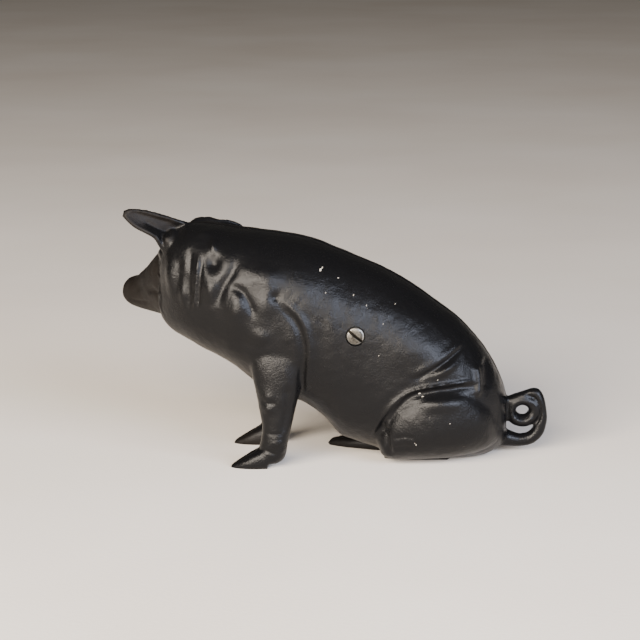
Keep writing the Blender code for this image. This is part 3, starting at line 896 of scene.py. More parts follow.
    def face(self) -> None:
        """Eyes under heavy brows, jowls and the mouth's long line, on both sides of the head."""
        clay = self.clay
        for flank in Flank:
            cheek = cheek_aspect(flank)
            clay.mound(cheek, (22, 126), (6.5, 5.0), -1.6)
            clay.groove(cheek, [(13, 134), (19, 135.5), (25, 133.5), (30, 129)], 2.2, -1.2)
            clay.groove(cheek, [(46, 104), (38, 107), (31, 106), (25, 101)], 2.2, 1.4)
            clay.mound(cheek, (16, 106), (11, 10), 1.6)
            clay.groove(cheek, [(8, 128), (5, 116), (7, 102), (14, 92)], 2.4, 1.6)
            clay.groove(cheek, [(77, 93.2), (70, 94.2), (61, 94.8), (52, 96.0), (45, 98.5)], 1.2,
                        0.9, 0.25)
            clay.mound(cheek, (60, 105), (8, 3.5), -0.9, -30)
        clay.mound(BROW_ASPECT, (0, 44), (7, 11), -1.6)
        clay.settle()
        for flank in Flank:
            cheek = cheek_aspect(flank)
            clay.mound(cheek, (22, 125.8), (3.0, 2.3), 1.9)
        clay.settle()
        for flank in Flank:
            cheek = cheek_aspect(flank)
            clay.groove(cheek, [(17.2, 125.4), (19.2, 128.8), (23.0, 129.4), (26.8, 125.2)], 0.95,
                        -1.2, 0.1)
            clay.groove(cheek, [(17.2, 125.4), (20.0, 122.9), (24.0, 122.7), (26.8, 125.2)], 0.9,
                        -0.9, 0.1)
            clay.groove(cheek, [(15.5, 121.5), (20.0, 119.3), (25.5, 119.6), (29, 121.5)], 0.9, 0.6)
            clay.groove(cheek, [(14.0, 117.5), (20.0, 115.0), (26.5, 115.6)], 1.0, 0.5)

    def snout(self) -> None:
        """The flat disc with its rim and nostrils, and the wrinkles across the bridge."""
        clay = self.clay
        for along, half in ((55, 8), (60, 9), (65, 8.5), (70, 8)):
            clay.groove(BROW_ASPECT, [(-half, along - 3), (-half / 2, along), (half / 2, along),
                                      (half, along - 3)], 1.0, 0.8, 0.15)
        rim = [(9.4 * math.cos(a), 98 + 8.6 * math.sin(a)) for a in np.linspace(0, math.tau, 13)]
        clay.groove(SNOUT_ASPECT, rim, 1.3, -0.8, 0.0)
        for side in (-1, 1):
            clay.mound(SNOUT_ASPECT, (side * 4.0, 98.6), (2.0, 2.7), -3.4)
        clay.groove(SNOUT_ASPECT, [(0, 92), (0, 96), (0, 105)], 0.9, 0.7)

    def ears(self) -> None:
        """Rolled rims and the long folds inside the left ear."""
        clay, side = self.clay, flank_aspect(Flank.LEFT)
        clay.groove(side, [(-103, 155), (-113, 157.5), (-124, 161.5), (-133, 164)], 1.2, 0.7)
        clay.groove(side, [(-106, 149), (-115, 152.5), (-125, 158.5)], 1.2, 0.7)
        clay.mound(side, (-109.5, 146.0), (3.0, 3.2), 1.8)
        clay.mound(side, (-101.5, 149.0), (5.0, 5.0), -1.2)
        clay.groove(TOP_ASPECT, [(-82, 33), (-78, 39), (-73, 45)], 1.6, 0.8)

    def feet(self) -> None:
        """Cloven hooves with their coronets and dewclaws."""
        clay = self.clay
        low_top = Aspect((1, 0, 0), (0, 1, 0), (-0.35, 0, 0.94), most=45.0)
        for flank in Flank:
            middle, side = self.pattern.leg_line(flank), flank_aspect(flank)
            clay.groove(low_top, [(-74, middle), (-62, middle), (-51, middle)], 1.0, 2.2, 0.12)
            clay.groove(side, [(-56, 9.0), (-50, 12.4), (-44, 12.6), (-37, 9.5)], 1.0, 0.9)
            clay.mound(side, (-34.5, 13.0), (2.2, 2.2), 0.8)
        clay.groove(low_top, [(-9, 23), (4, 19.5), (18, 15.5)], 1.1, 1.6, 0.12)

    def tail(self) -> None:
        """The crest that winds round the tail's eye, and the crossing where a strand passes it."""
        clay = self.clay
        for flank in Flank:
            side = flank_aspect(flank)
            ring = [(124 + 7.2 * math.cos(a), 28.5 + 7.2 * math.sin(a))
                    for a in np.linspace(0.6, 5.9, 14)]
            clay.groove(side, ring, 1.3, -0.9, 0.08)
            outer = [(124 + 11.6 * math.cos(a), 28.5 + 11.6 * math.sin(a))
                     for a in np.linspace(-0.9, 1.5, 9)]
            clay.groove(side, outer, 1.2, 1.5, 0.15)
            clay.groove(side, [(112.8, 38), (113.6, 28), (112.6, 16)], 1.5, 1.2)

    def back_seam(self) -> None:
        """The joint line: a shallow fettled groove, with the far shell standing a hair proud."""
        clay = self.clay
        depth, width, rise, spread = 0.45, 0.9, 0.35, 3.0
        y = clay.places[:, 1]
        groove = -depth * np.exp(-(y / width) ** 2)
        on_top = clay.normals[:, 2] > 0.2
        proud = rise * np.exp(-((y - spread) / spread) ** 2) * on_top
        clay.push(groove + proud)


# ---------------------------------------------------------------------------------------------
# Finishes
# ---------------------------------------------------------------------------------------------

def linear(code: str, alpha: float = 1.0) -> tuple[float, float, float, float]:
    """An sRGB hex colour as linear light.

    Args:
        code: Six hex digits.
        alpha: Opacity.
    Returns:
        Linear red, green, blue and alpha.
    """
    channels = [int(code[i:i + 2], 16) / 255 for i in (0, 2, 4)]
    light = [c / 12.92 if c <= 0.04045 else ((c + 0.055) / 1.055) ** 2.4 for c in channels]
    return light[0], light[1], light[2], alpha


def add_node(tree: bpy.types.NodeTree, kind: str, settings: dict | None = None,
             links: dict | None = None) -> bpy.types.Node:
    """Add a shader node with its settings and what feeds it.

    Args:
        tree: The material's node tree.
        kind: Blender's node type.
        settings: Attribute or input name to value. A number in front means an input by its index.
        links: Input name or index to the socket that feeds it.
    Returns:
        The node.
    """
    made = tree.nodes.new(kind)
    for name, value in (settings or {}).items():
        if isinstance(name, int) or name in made.inputs:
            made.inputs[name].default_value = value
        else:
            setattr(made, name, value)
    for name, socket in (links or {}).items():
        tree.links.new(socket, made.inputs[name])
    return made


def ramp(tree: bpy.types.NodeTree, factor: bpy.types.NodeSocket,
         stops: Iterable[tuple[float, tuple]]) -> bpy.types.NodeSocket:
    """Add a colour ramp.

    Args:
        tree: The material's node tree.
        factor: The socket that runs along the ramp.
        stops: Places from 0 to 1, each with its linear colour.
    Returns:
        The ramp's colour output.
    """
    made = add_node(tree, "ShaderNodeValToRGB", links={0: factor})
    elements = made.color_ramp.elements
    stops = list(stops)
    while len(elements) < len(stops):
        elements.new(0.5)
    for element, (place, colour) in zip(elements, stops):
        element.position = place
        element.color = colour
    return made.outputs[0]


@dataclass(frozen=True)
class CastEnamel:
    """Satin black stoving enamel brushed over sand-cast iron.

    The sand's grain shows through the paint as orange-peel pits, so a highlight breaks up into
    mottled patches. The paint has gone dark brown and dull where it is weathered, and the same
    brown is painted on as shade on the snout, in the left ear's hollow, on the far hind foot and on
    down-facing faces, and as a painted reflection along the far shell's top. It has chipped to pale
    iron in small specks. Moulding sand is finer than grain_mm, which is drawn as coarse as it needs
    to be to show.
    """

    name: str
    paint: str = "0b0b0c"
    # Dark brown of weathered paint, also painted on as shade and as a reflection.
    wear_and_shade_brown: str = "0f0b08"
    chip: str = "a8a297"
    roughness: float = 0.27
    gloss: float = 0.16
    grain_mm: float = 1.0
    peel_mm: float = 4.5
    pit_mm: float = 0.8

    def material(self) -> bpy.types.Material:
        """Build the node material.

        Returns:
            The material.
        """
        material = bpy.data.materials.new(self.name)
        material.use_nodes = True
        tree = material.node_tree
        shader = tree.nodes["Principled BSDF"]
        shader.inputs["Specular IOR Level"].default_value = self.gloss
        place = add_node(tree, "ShaderNodeTexCoord").outputs["Object"]
        grain = add_node(tree, "ShaderNodeTexNoise", {
            "Scale": 1 / (self.grain_mm * MM), "Detail": 3.0, "Roughness": 0.55}, {"Vector": place})
        peel = add_node(tree, "ShaderNodeTexNoise", {
            "Scale": 1 / (self.peel_mm * MM), "Detail": 2.0, "Roughness": 0.5}, {"Vector": place})
        pits = add_node(tree, "ShaderNodeTexVoronoi", {
            "Scale": 1 / (self.pit_mm * 2.2 * MM), "Randomness": 1.0}, {"Vector": place})
        stain = add_node(tree, "ShaderNodeTexNoise", {
            "Scale": 1 / (26 * MM), "Detail": 4.0, "Roughness": 0.6}, {"Vector": place})
        # Weathered paint together with painted shade and a painted reflection, as marked on the
        # skin.
        wear_shade_and_reflection = add_node(tree, "ShaderNodeAttribute", {"attribute_name": "wear_shade_and_reflection"}).outputs["Fac"]
        chips = add_node(tree, "ShaderNodeAttribute", {"attribute_name": "chips"}).outputs["Fac"]

        # Stain noise breaks the weathering, painted shade and painted reflection into patches.
        patches = ramp(tree, stain.outputs["Fac"], [(0.3, (0.35,) * 3 + (1,)), (0.7, (1.0,) * 4)])
        patchy_wear_and_shade = add_node(tree, "ShaderNodeMath", {"operation": "MULTIPLY"}, {0: wear_shade_and_reflection, 1: patches})
        paint = add_node(tree, "ShaderNodeMix", {
            "data_type": "RGBA", 6: linear(self.paint), 7: linear(self.wear_and_shade_brown)}, {
                0: patchy_wear_and_shade.outputs[0]})
        crumble = add_node(tree, "ShaderNodeTexNoise", {
            "Scale": 1 / (self.pit_mm * MM), "Detail": 3.0, "Roughness": 0.7}, {"Vector": place})
        edge = add_node(tree, "ShaderNodeMath", {"operation": "ADD"}, {
            0: chips, 1: crumble.outputs["Fac"]})
        ragged = add_node(tree, "ShaderNodeMapRange", {
            "From Min": 1.22, "From Max": 1.3, "To Min": 0.0, "To Max": 1.0}, {
                "Value": edge.outputs[0]})
        flake = add_node(tree, "ShaderNodeMix", {
            "data_type": "RGBA", 7: linear(self.chip)}, {
                0: ragged.outputs["Result"], 6: paint.outputs[2]})
        tree.links.new(flake.outputs[2], shader.inputs["Base Color"])

        rough = add_node(tree, "ShaderNodeMapRange", {
            "From Min": 0.3, "From Max": 0.7, "To Min": self.roughness - 0.05,
            "To Max": self.roughness + 0.08}, {"Value": stain.outputs["Fac"]})
        matte = add_node(tree, "ShaderNodeMath", {"operation": "MULTIPLY_ADD", 1: 0.3}, {
            0: wear_shade_and_reflection, 2: rough.outputs["Result"]})
        tree.links.new(matte.outputs[0], shader.inputs["Roughness"])
        fine = add_node(tree, "ShaderNodeBump", {
            "Strength": 0.8, "Distance": 0.27 * MM}, {"Height": grain.outputs["Fac"]})
        broad = add_node(tree, "ShaderNodeBump", {
            "Strength": 0.3, "Distance": 0.4 * MM}, {
                "Height": peel.outputs["Fac"], "Normal": fine.outputs["Normal"]})
        pitted = add_node(tree, "ShaderNodeBump", {
            "Strength": 0.35, "Distance": 0.12 * MM}, {
                "Height": pits.outputs["Distance"], "Normal": broad.outputs["Normal"]})
        tree.links.new(pitted.outputs["Normal"], shader.inputs["Normal"])
        return material


@dataclass(frozen=True)
class TurnedSteel:
    """Bare machine-screw steel: dull with tarnish, rubbed bright at the edge, and darkened on the
    slot's floor by painted shade and old paint.
    """

    name: str = "turned_steel"
    bright: str = "6a6760"
    dull: str = "2b2926"
    edge: str = "d6d3ca"
    # Dark colour of the slot's floor: painted shade and old paint.
    slot_shade_and_old_paint: str = "181613"
    roughness: float = 0.38

    def material(self) -> bpy.types.Material:
        """Build the node material.

        Returns:
            The material.
        """
        material = bpy.data.materials.new(self.name)
        material.use_nodes = True
        tree = material.node_tree
        shader = tree.nodes["Principled BSDF"]
        shader.inputs["Metallic"].default_value = 1.0
        place = add_node(tree, "ShaderNodeTexCoord").outputs["Object"]
        tarnish = add_node(tree, "ShaderNodeTexNoise", {
            "Scale": 1 / (2.2 * MM), "Detail": 4.0, "Roughness": 0.6}, {"Vector": place})
        scratch = add_node(tree, "ShaderNodeTexNoise", {
            "Scale": 1 / (0.5 * MM), "Detail": 2.0}, {"Vector": place})
        colour = ramp(tree, tarnish.outputs["Fac"], [
            (0.35, linear(self.dull)), (0.62, linear(self.bright))])
        rubbed = add_node(tree, "ShaderNodeAttribute", {"attribute_name": "rubbed"}).outputs["Fac"]
        # Painted shade and old paint on the slot's floor, as marked on the screw.
        slot_shade_and_old_paint = add_node(tree, "ShaderNodeAttribute", {"attribute_name": "slot_shade_and_old_paint"}).outputs["Fac"]
        brighter = add_node(tree, "ShaderNodeMix", {
            "data_type": "RGBA", 7: linear(self.edge)}, {0: rubbed, 6: colour})
        slot_shade_and_old_paint_mix = add_node(tree, "ShaderNodeMix", {
            "data_type": "RGBA", 7: linear(self.slot_shade_and_old_paint)}, {0: slot_shade_and_old_paint, 6: brighter.outputs[2]})
        tree.links.new(slot_shade_and_old_paint_mix.outputs[2], shader.inputs["Base Color"])
        rough = add_node(tree, "ShaderNodeMapRange", {
            "From Min": 0.3, "From Max": 0.7, "To Min": self.roughness + 0.1,
            "To Max": self.roughness - 0.06}, {"Value": tarnish.outputs["Fac"]})
        tree.links.new(rough.outputs["Result"], shader.inputs["Roughness"])
        bump = add_node(tree, "ShaderNodeBump", {
            "Strength": 0.3, "Distance": 0.05 * MM}, {"Height": scratch.outputs["Fac"]})
        tree.links.new(bump.outputs["Normal"], shader.inputs["Normal"])
        return material


# ---------------------------------------------------------------------------------------------
# The pieces
# ---------------------------------------------------------------------------------------------

@dataclass
class Castings:
    """The two shells, parted and hollowed from one worked skin."""

    datum: Datum
    pattern: Pattern = field(default_factory=Pattern)
    wall: float = 5.0
    head_wall: float = 6.5
    pillar_diameter: float = 17.0
    lug_places: Points = ((-62.0, 104.0), (74.0, 42.0))
    lug_diameter: float = 5.0
    lug_height: float = 3.0
    lug_pillar_diameter: float = 12.0
    counterbore_clearance: float = 0.9
    tapped_depth: float = 17.0
    # How far tools reach: along the whole figure, past a flank, and past the joint plane
    whole_reach: float = 300.0
    core_reach: float = 60.0
    flank_reach: float = 70.0
    joint_reach: float = 5.0
    # Chips in the paint: (x, height, half width, half height, tilt in degrees)
    chip_marks: tuple[Row, ...] = (
        (-9.2, 129.4, 1.3, 0.9, 60), (-8.0, 130.6, 0.8, 0.8, 0), (2.2, 124.1, 0.7, 0.7, 0),
        (11.8, 113.9, 0.6, 0.6, 0), (20.0, 107.2, 0.4, 2.6, 25), (21.2, 103.8, 0.4, 1.0, 25),
        (38.6, 107.3, 0.6, 0.6, 0), (27.7, 76.0, 0.6, 0.9, 0), (53.9, 50.6, 1.4, 0.8, 20),
        (56.2, 49.0, 0.8, 0.6, 0), (73.8, 31.7, 0.8, 0.8, 0), (51.6, 18.4, 0.4, 2.4, 35),
        (50.0, 20.9, 0.4, 0.8, 30), (83.2, 15.0, 0.6, 0.6, 0), (66.0, 60.0, 0.5, 0.5, 0),
        (-6.0, 116.0, 0.4, 0.7, 0), (31.0, 96.0, 0.5, 0.5, 0), (60.0, 36.0, 0.5, 0.7, 0),
    )

    def pin(self, name: str, x: float, z: float, y_from: float, y_to: float,
            diameter: float) -> bpy.types.Object:
        """A round bar along Y, in pattern millimetres.

        Args:
            name: The object's name.
            x: Its axis along X.
            z: Its axis above the ground.
            y_from: One end.
            y_to: The other end.
            diameter: Its diameter.
        Returns:
            The bar.
        """
        bpy.ops.object.select_all(action="DESELECT")
        bpy.ops.mesh.primitive_cylinder_add(
            vertices=48, radius=diameter / 2, depth=abs(y_to - y_from),
            rotation=(math.pi / 2, 0, 0), location=(x, (y_from + y_to) / 2, z))
        bar = bpy.context.active_object
        bar.name = name
        bpy.ops.object.transform_apply(location=True, rotation=True, scale=True)
        return bar

    def combine(self, piece: bpy.types.Object, other: bpy.types.Object, operation: str,
                keep: bool = False) -> None:
        """Cut, join or intersect a piece with another.

        Args:
            piece: The piece that is changed.
            other: The tool, which is removed afterwards.
            operation: Blender's name for the boolean operation.
            keep: Leave the tool in the scene for another use.
        """
        step = piece.modifiers.new(operation.lower(), "BOOLEAN")
        step.operation = operation
        step.object = other
        step.solver = "MANIFOLD"
        apply_all(piece)
        if not keep:
            bpy.data.objects.remove(other)

    def core(self) -> bpy.types.Object:
        """The hollow inside, with pillars left standing for the screw and the lugs.

        Returns:
            The core, which is cut out of both shells.
        """
        core = self.pattern.trunk(self.wall)
        self.combine(core, self.pattern.skull(self.head_wall), "UNION")
        pillars = [(*SCREW_AT, self.pillar_diameter)]
        pillars += [(x, z, self.lug_pillar_diameter) for x, z in self.lug_places]
        for x, z, diameter in pillars:
            pillar = self.pin("pillar", x, z, -self.core_reach, self.core_reach, diameter)
            self.combine(core, pillar, "DIFFERENCE")
        return core

    def fit(self, clay: Clay) -> None:
        """Stretch the skin by a hair so that its box is the frame's own box.

        Args:
            clay: The worked skin.
        """
        offset = np.array((self.datum.x, self.datum.y, 0.0)) / MM
        low = np.array(CAD_LOW) / MM - offset
        high = np.array(CAD_HIGH) / MM - offset
        now_low, now_high = clay.places.min(axis=0), clay.places.max(axis=0)
        now_low[2] = 0.0
        grow = (high - low) / (now_high - now_low)
        LOG.info("skin box %s to %s, stretched by %s", now_low.round(2), now_high.round(2),
                 grow.round(4))
        clay.places = low + (clay.places - now_low) * grow
        clay.settle()

    def mark(self, clay: Clay) -> None:
        """Write where the paint is weathered brown, with painted shade and a painted reflection in
        the same brown, and where it is chipped, for the finish to read.

        Args:
            clay: The worked skin, at its final size.
        """
        x, y, z = clay.places.T
        # Painted shade: down-facing faces get a little of the dark brown.
        down = np.clip(-clay.normals[:, 2], 0, 1)
        # Snout: brown rust and painted shade where it turns away from the lamps.
        head = smoothstep((-112.0 - x) / 5.0) * smoothstep((138.0 - z) / 6.0)
        # Far hind foot: painted shade, low under the body.
        foot = smoothstep((16.0 - z) / 16.0) * smoothstep((y - 2) / 10)
        # Left ear's hollow: painted shade, with its rims left out so they stay glossy.
        inside = smoothstep((-clay.normals[:, 1] - 0.6) / 0.25)
        ear = smoothstep((-100.0 - x) / 8.0) * smoothstep((z - 141.0) / 6.0) * inside
        # Top of the far shell by the joint: weathered brown and a painted reflection.
        nape = smoothstep((z - 146.0) / 6.0) * smoothstep((y + 1.0) / 3.0) * (x < -40)
        # Weathering, painted shade and painted reflection, joined into one mark.
        wear_shade_and_reflection = np.clip(1.0 * head + 0.9 * foot + 1.0 * ear + 0.6 * nape + 0.25 * down, 0, 1)
        chips = np.zeros(len(x))
        for flank in Flank:
            on_flank = y * flank.value > 8
            for i, (cx, cz, wide, tall, tilt) in enumerate(self.chip_marks):
                if flank is Flank.RIGHT:
                    cx, cz = cx + 9 * math.sin(5.0 * i + 1), cz + 8 * math.cos(3.0 * i)
                a = math.radians(tilt)
                du, dv = x - cx, z - cz
                spread = ((du * math.cos(a) + dv * math.sin(a)) / wide) ** 2
                spread += ((dv * math.cos(a) - du * math.sin(a)) / tall) ** 2
                chips = np.maximum(chips, smoothstep(1.6 - 1.5 * spread) * on_flank)
        mesh = clay.piece.data
        for name, values in (("wear_shade_and_reflection", wear_shade_and_reflection), ("chips", chips)):
            attribute = mesh.attributes.new(name, "FLOAT", "POINT")
            attribute.data.foreach_set("value", values.astype(np.float32))

    def part(self, skin: bpy.types.Object, flank: Flank,
             core: bpy.types.Object) -> bpy.types.Object:
        """Cut one shell out of the skin, flat on the ground and at the joint plane, and hollow it.

        Args:
            skin: The whole skin, which is left as it is.
            flank: The side to keep.
            core: The hollow inside, which is left as it is.
        Returns:
            The hollow shell.
        """
        side = flank.value
        select_only(skin)
        bpy.ops.object.duplicate()
        shell = bpy.context.active_object
        bpy.ops.object.select_all(action="DESELECT")
        reach = self.whole_reach
        bpy.ops.mesh.primitive_cube_add(size=1.0)
        room = bpy.context.active_object
        room.data.transform(
            Matrix.Translation((0, side * (reach + SEAM_GAP) / 2, reach / 2))
            @ Matrix.Scale(reach, 4) @ Matrix.Diagonal((2, 1, 1, 1)))
        self.combine(shell, room, "INTERSECT")
        self.combine(shell, core, "DIFFERENCE", keep=True)
        return shell

    def finish(self, shell: bpy.types.Object, node: str, material: bpy.types.Material) -> None:
        """Put a shell in its place in the frame, shade it and hand it to the shells' body.

        Args:
            shell: The shell, in pattern millimetres.
            node: The frame's node that it stands for.
            material: Its finish.
        """
        shell.name = f"{node}_casting"
        shell.data.name = shell.name
        shell.data.transform(self.datum.matrix())
        shell.data.materials.clear()
        shell.data.materials.append(material)
        select_only(shell)
        bpy.ops.object.shade_smooth_by_angle(angle=math.radians(38))
        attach(shell, "shells")
        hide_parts(node)
        LOG.info("%s has %d faces", shell.name, len(shell.data.polygons))

    def build(self) -> None:
        """Model, sculpt, part and dress both shells."""
        skin = self.pattern.skin()
        LOG.info("skin has %d points", len(skin.data.vertices))
        clay = Clay(skin)
        Sculptor(clay, self.pattern).work()
        self.fit(clay)
        self.mark(clay)
        core = self.core()
        left = self.part(skin, Flank.LEFT, core)
        right = self.part(skin, Flank.RIGHT, core)
        self.left_bores(left)
        self.right_bores(right)
        bpy.data.objects.remove(core)
        bpy.data.objects.remove(skin)
        enamel = CastEnamel("black_stoving_enamel").material()
        self.finish(left, "left_half", enamel)
        self.finish(right, "right_half", enamel)

    def left_bores(self, shell: bpy.types.Object) -> None:
        """Screw hole, counterbore and lug sockets of the left shell.

        Args:
            shell: The left shell.
        """
        x, z = SCREW_AT
        seat = (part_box("clamp_screw")[0][1] - self.datum.y) / MM + HEAD_HEIGHT + FIT_GAP
        narrow = SCREW_DIAMETER + 2 * FIT_GAP
        wide = HEAD_DIAMETER + 2 * self.counterbore_clearance
        for name, inner, diameter in (
                ("hole", self.joint_reach, narrow), ("counterbore", seat, wide)):
            bore = self.pin(name, x, z, -self.flank_reach, inner, diameter)
            self.combine(shell, bore, "DIFFERENCE")
        for lug_x, lug_z in self.lug_places:
            socket = self.pin("socket", lug_x, lug_z, -self.lug_height - FIT_GAP,
                              self.joint_reach, self.lug_diameter + 2 * FIT_GAP)
            self.combine(shell, socket, "DIFFERENCE")

    def right_bores(self, shell: bpy.types.Object) -> None:
        """Tapped hole and locating lugs of the right shell.

        Args:
            shell: The right shell.
        """
        tapped = self.pin("tapped", *SCREW_AT, -self.joint_reach, self.tapped_depth,
                          SCREW_DIAMETER + 2 * FIT_GAP)
        self.combine(shell, tapped, "DIFFERENCE")
        for lug_x, lug_z in self.lug_places:
            lug = self.pin("lug", lug_x, lug_z, -self.lug_height, self.lug_height,
                           self.lug_diameter)
            self.combine(shell, lug, "UNION")


@dataclass
class ClampScrew:
    """The long slotted machine screw, with its head sunk in the left flank."""

    datum: Datum
    head_height: float = HEAD_HEIGHT
    dome: float = 1.2
    slot_width: float = 1.8
    slot_depth: float = 2.3
    slot_angle: float = 40.0
    thread_pitch: float = 1.06
    thread_depth: float = 0.45
    thread_length: float = 18.0

    def build(self) -> None:
        """Turn the screw, saw its slot and dress it."""
        low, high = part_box("clamp_screw")
        head_top = (low[1] - self.datum.y) / MM
        tip = (high[1] - self.datum.y) / MM
        screw = self.turned(head_top, tip)
        self.saw(screw, head_top)
        bevel = screw.modifiers.new("eased", "BEVEL")
        bevel.width = 0.12
        bevel.segments = 2
        bevel.limit_method = "ANGLE"
        bevel.angle_limit = math.radians(50)
        apply_all(screw)
        self.mark(screw, head_top)
        screw.name = "slotted_clamp_screw"
        screw.data.transform(self.datum.matrix())
        screw.data.materials.append(TurnedSteel().material())
        select_only(screw)
        bpy.ops.object.shade_smooth_by_angle(angle=math.radians(35))
        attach(screw, "screw")
        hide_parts("clamp_screw")
        LOG.info("%s has %d faces", screw.name, len(screw.data.polygons))

    def turned(self, head_top: float, tip: float) -> bpy.types.Object:
        """Head and shank lofted along the screw's axis, with the thread's rings near its tip.

        Args:
            head_top: Where along Y the head begins.
            tip: Where along Y the shank ends.
        Returns:
            The screw without its slot, in pattern millimetres.
        """
        radius, head_radius = SCREW_DIAMETER / 2, HEAD_DIAMETER / 2
        outline = []
        for i in range(9):
            a = i / 8 * math.pi / 2
            outline.append((head_top + self.dome * (1 - math.cos(a)),
                            head_radius * (0.55 + 0.45 * math.sin(a))))
        under = head_top + self.head_height
        outline += [(under, head_radius), (under, radius)]
        y = tip - self.thread_length
        outline.append((y, radius))
        while y < tip - 2 * self.thread_pitch:
            outline.append((y + self.thread_pitch * 0.5, radius - self.thread_depth))
            outline.append((y + self.thread_pitch, radius))
            y += self.thread_pitch
        outline += [(tip - 0.8, radius - 0.2), (tip, radius - 0.9)]
        along_y = Matrix(
            ((0, -1, 0, SCREW_AT[0]), (1, 0, 0, 0), (0, 0, 1, SCREW_AT[1]), (0, 0, 0, 1)))
        return extruded_loft("screw", [(y, -r, r, r, 0.0) for y, r in outline], 2.0, 72, along_y)

    def saw(self, screw: bpy.types.Object, head_top: float) -> None:
        """Saw the slot across the head, turned from level by the slot's angle.

        Args:
            screw: The turned screw.
            head_top: Where along Y the head begins.
        """
        bpy.ops.object.select_all(action="DESELECT")
        bpy.ops.mesh.primitive_cube_add(size=1.0)
        blade = bpy.context.active_object
        blade.data.transform(
            Matrix.Translation((SCREW_AT[0], head_top, SCREW_AT[1]))
            @ Matrix.Rotation(math.radians(self.slot_angle), 4, "Y")
            @ Matrix.Diagonal((2 * HEAD_DIAMETER, 2 * self.slot_depth, self.slot_width, 1)))
        cut = screw.modifiers.new("slot", "BOOLEAN")
        cut.operation = "DIFFERENCE"
        cut.object = blade
        cut.solver = "EXACT"
        apply_all(screw)
        bpy.data.objects.remove(blade)


    def mark(self, screw: bpy.types.Object, head_top: float) -> None:
        """Write where the head's edge is rubbed bright and where the slot's floor is darkened as
        painted shade and old paint.

        Args:
            screw: The sawn screw.
            head_top: Where along Y the head begins.
        """
        mesh = screw.data
        places = np.empty(len(mesh.vertices) * 3, dtype=np.float32)
        mesh.vertices.foreach_get("co", places)
        x, y, z = places.reshape(-1, 3).T
        out = np.hypot(x - SCREW_AT[0], z - SCREW_AT[1]) / (HEAD_DIAMETER / 2)
        down = y - head_top
        # Painted shade and old paint: points at the depth of the slot's floor.
        slot_shade_and_old_paint = (down > self.slot_depth - 0.4) & (down < self.slot_depth + 0.4)
        rubbed = smoothstep((out - 0.84) / 0.14) * (down < self.dome + 0.1)
        for name, values in (("slot_shade_and_old_paint", slot_shade_and_old_paint), ("rubbed", rubbed)):
            attribute = mesh.attributes.new(name, "FLOAT", "POINT")
            attribute.data.foreach_set("value", values.astype(np.float32))


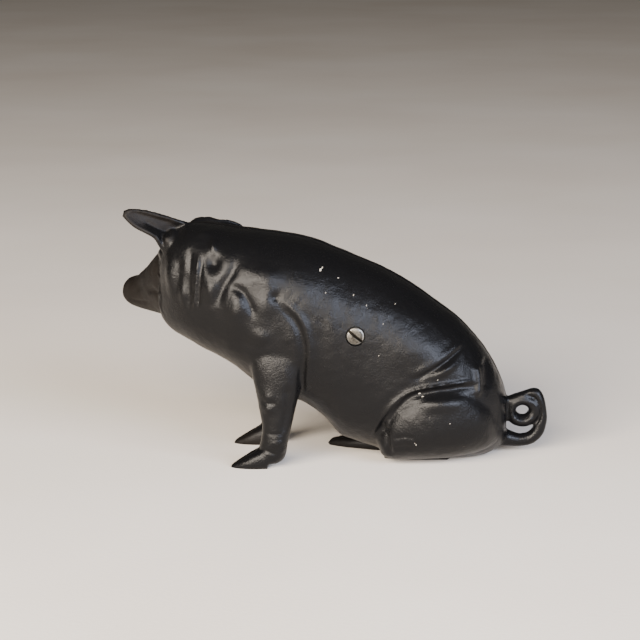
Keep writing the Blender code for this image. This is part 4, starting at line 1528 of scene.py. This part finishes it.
@dataclass
class Studio:
    """Pale floor, soft lights and the camera."""

    datum: Datum
    distance: float = 1.5
    elevation: float = 12.0
    look_at: Row = (-9.5, 0.0, 89.5)
    frame_width: float = 0.41965
    sensor: float = 36.0
    floor_size: float = 14.0
    ambient: float = 0.12
    # Height of the point that the lights are aimed at, in metres
    lights_at: float = 0.08

    def build(self) -> None:
        """Set up everything that isn't part of the figure."""
        self.floor()
        self.camera()
        self.softbox("key_window", -25, 19, 2.3, 2.1, 1.25, 230.0, "fff3e4")
        self.softbox("fill_window", 40, 19, 2.3, 1.6, 1.05, 105.0, "e0e9ff")
        world = bpy.data.worlds.new("studio")
        world.use_nodes = True
        back = world.node_tree.nodes["Background"]
        back.inputs["Color"].default_value = linear("d9d2c8")
        back.inputs["Strength"].default_value = self.ambient
        bpy.context.scene.world = world

    def floor(self) -> None:
        """A pale cloth-like floor, plain to the horizon."""
        bpy.ops.object.select_all(action="DESELECT")
        bpy.ops.mesh.primitive_plane_add(size=self.floor_size, location=(0, 0, 0))
        floor = bpy.context.active_object
        floor.name = "floor"
        material = bpy.data.materials.new("pale_floor")
        material.use_nodes = True
        tree = material.node_tree
        shader = tree.nodes["Principled BSDF"]
        place = add_node(tree, "ShaderNodeTexCoord").outputs["Object"]
        nap = add_node(tree, "ShaderNodeTexNoise", {
            "Scale": 1 / (3 * MM), "Detail": 3.0}, {"Vector": place})
        tint = add_node(tree, "ShaderNodeTexNoise", {
            "Scale": 3.0, "Detail": 3.0}, {"Vector": place})
        colour = ramp(tree, tint.outputs["Fac"], [
            (0.3, linear("e8dfd3")), (0.7, linear("f1eae0"))])
        tree.links.new(colour, shader.inputs["Base Color"])
        shader.inputs["Roughness"].default_value = 0.95
        bump = add_node(tree, "ShaderNodeBump", {"Strength": 0.25, "Distance": 0.4 * MM}, {
            "Height": nap.outputs["Fac"]})
        tree.links.new(bump.outputs["Normal"], shader.inputs["Normal"])
        floor.data.materials.append(material)

    def camera(self) -> None:
        """A long lens level with the pig's left flank, looking a little down."""
        data = bpy.data.cameras.new("camera")
        data.sensor_width = self.sensor
        data.lens = self.sensor * self.distance / self.frame_width
        camera = bpy.data.objects.new("camera", data)
        bpy.context.scene.collection.objects.link(camera)
        target = self.datum.matrix() @ Vector(self.look_at)
        tilt = math.radians(self.elevation)
        camera.location = target + self.distance * Vector((0, -math.cos(tilt), math.sin(tilt)))
        camera.rotation_euler = (math.pi / 2 - tilt, 0, 0)
        bpy.context.scene.camera = camera

    def softbox(self, name: str, azimuth: float, elevation: float, distance: float, width: float,
                height: float, watts: float, colour: str) -> None:
        """A rectangular area light aimed at the middle of the figure.

        Args:
            name: The light's name.
            azimuth: Degrees towards +X from the camera's side.
            elevation: Degrees above level.
            distance: Metres from the figure.
            width: Metres across.
            height: Metres high.
            watts: Radiant power.
            colour: sRGB hex colour.
        """
        data = bpy.data.lights.new(name, "AREA")
        data.shape = "RECTANGLE"
        data.size = width
        data.size_y = height
        data.energy = watts
        data.color = linear(colour)[:3]
        light = bpy.data.objects.new(name, data)
        bpy.context.scene.collection.objects.link(light)
        turn, rise = math.radians(azimuth), math.radians(elevation)
        level = math.cos(rise)
        way = Vector((math.sin(turn) * level, -math.cos(turn) * level, math.sin(rise)))
        light.location = way * distance + Vector((0, 0, self.lights_at))
        light.rotation_euler = way.to_track_quat("Z", "Y").to_euler()


def main() -> None:
    """Build the stage, the castings and the screw, and report each."""
    logging.basicConfig(level=logging.INFO, format="%(name)s: %(message)s")
    datum = Datum.from_frame()
    LOG.info("datum at %.4f, %.4f", datum.x, datum.y)
    Studio(datum).build()
    Castings(datum).build()
    ClampScrew(datum).build()


if __name__ == "__main__":
    main()
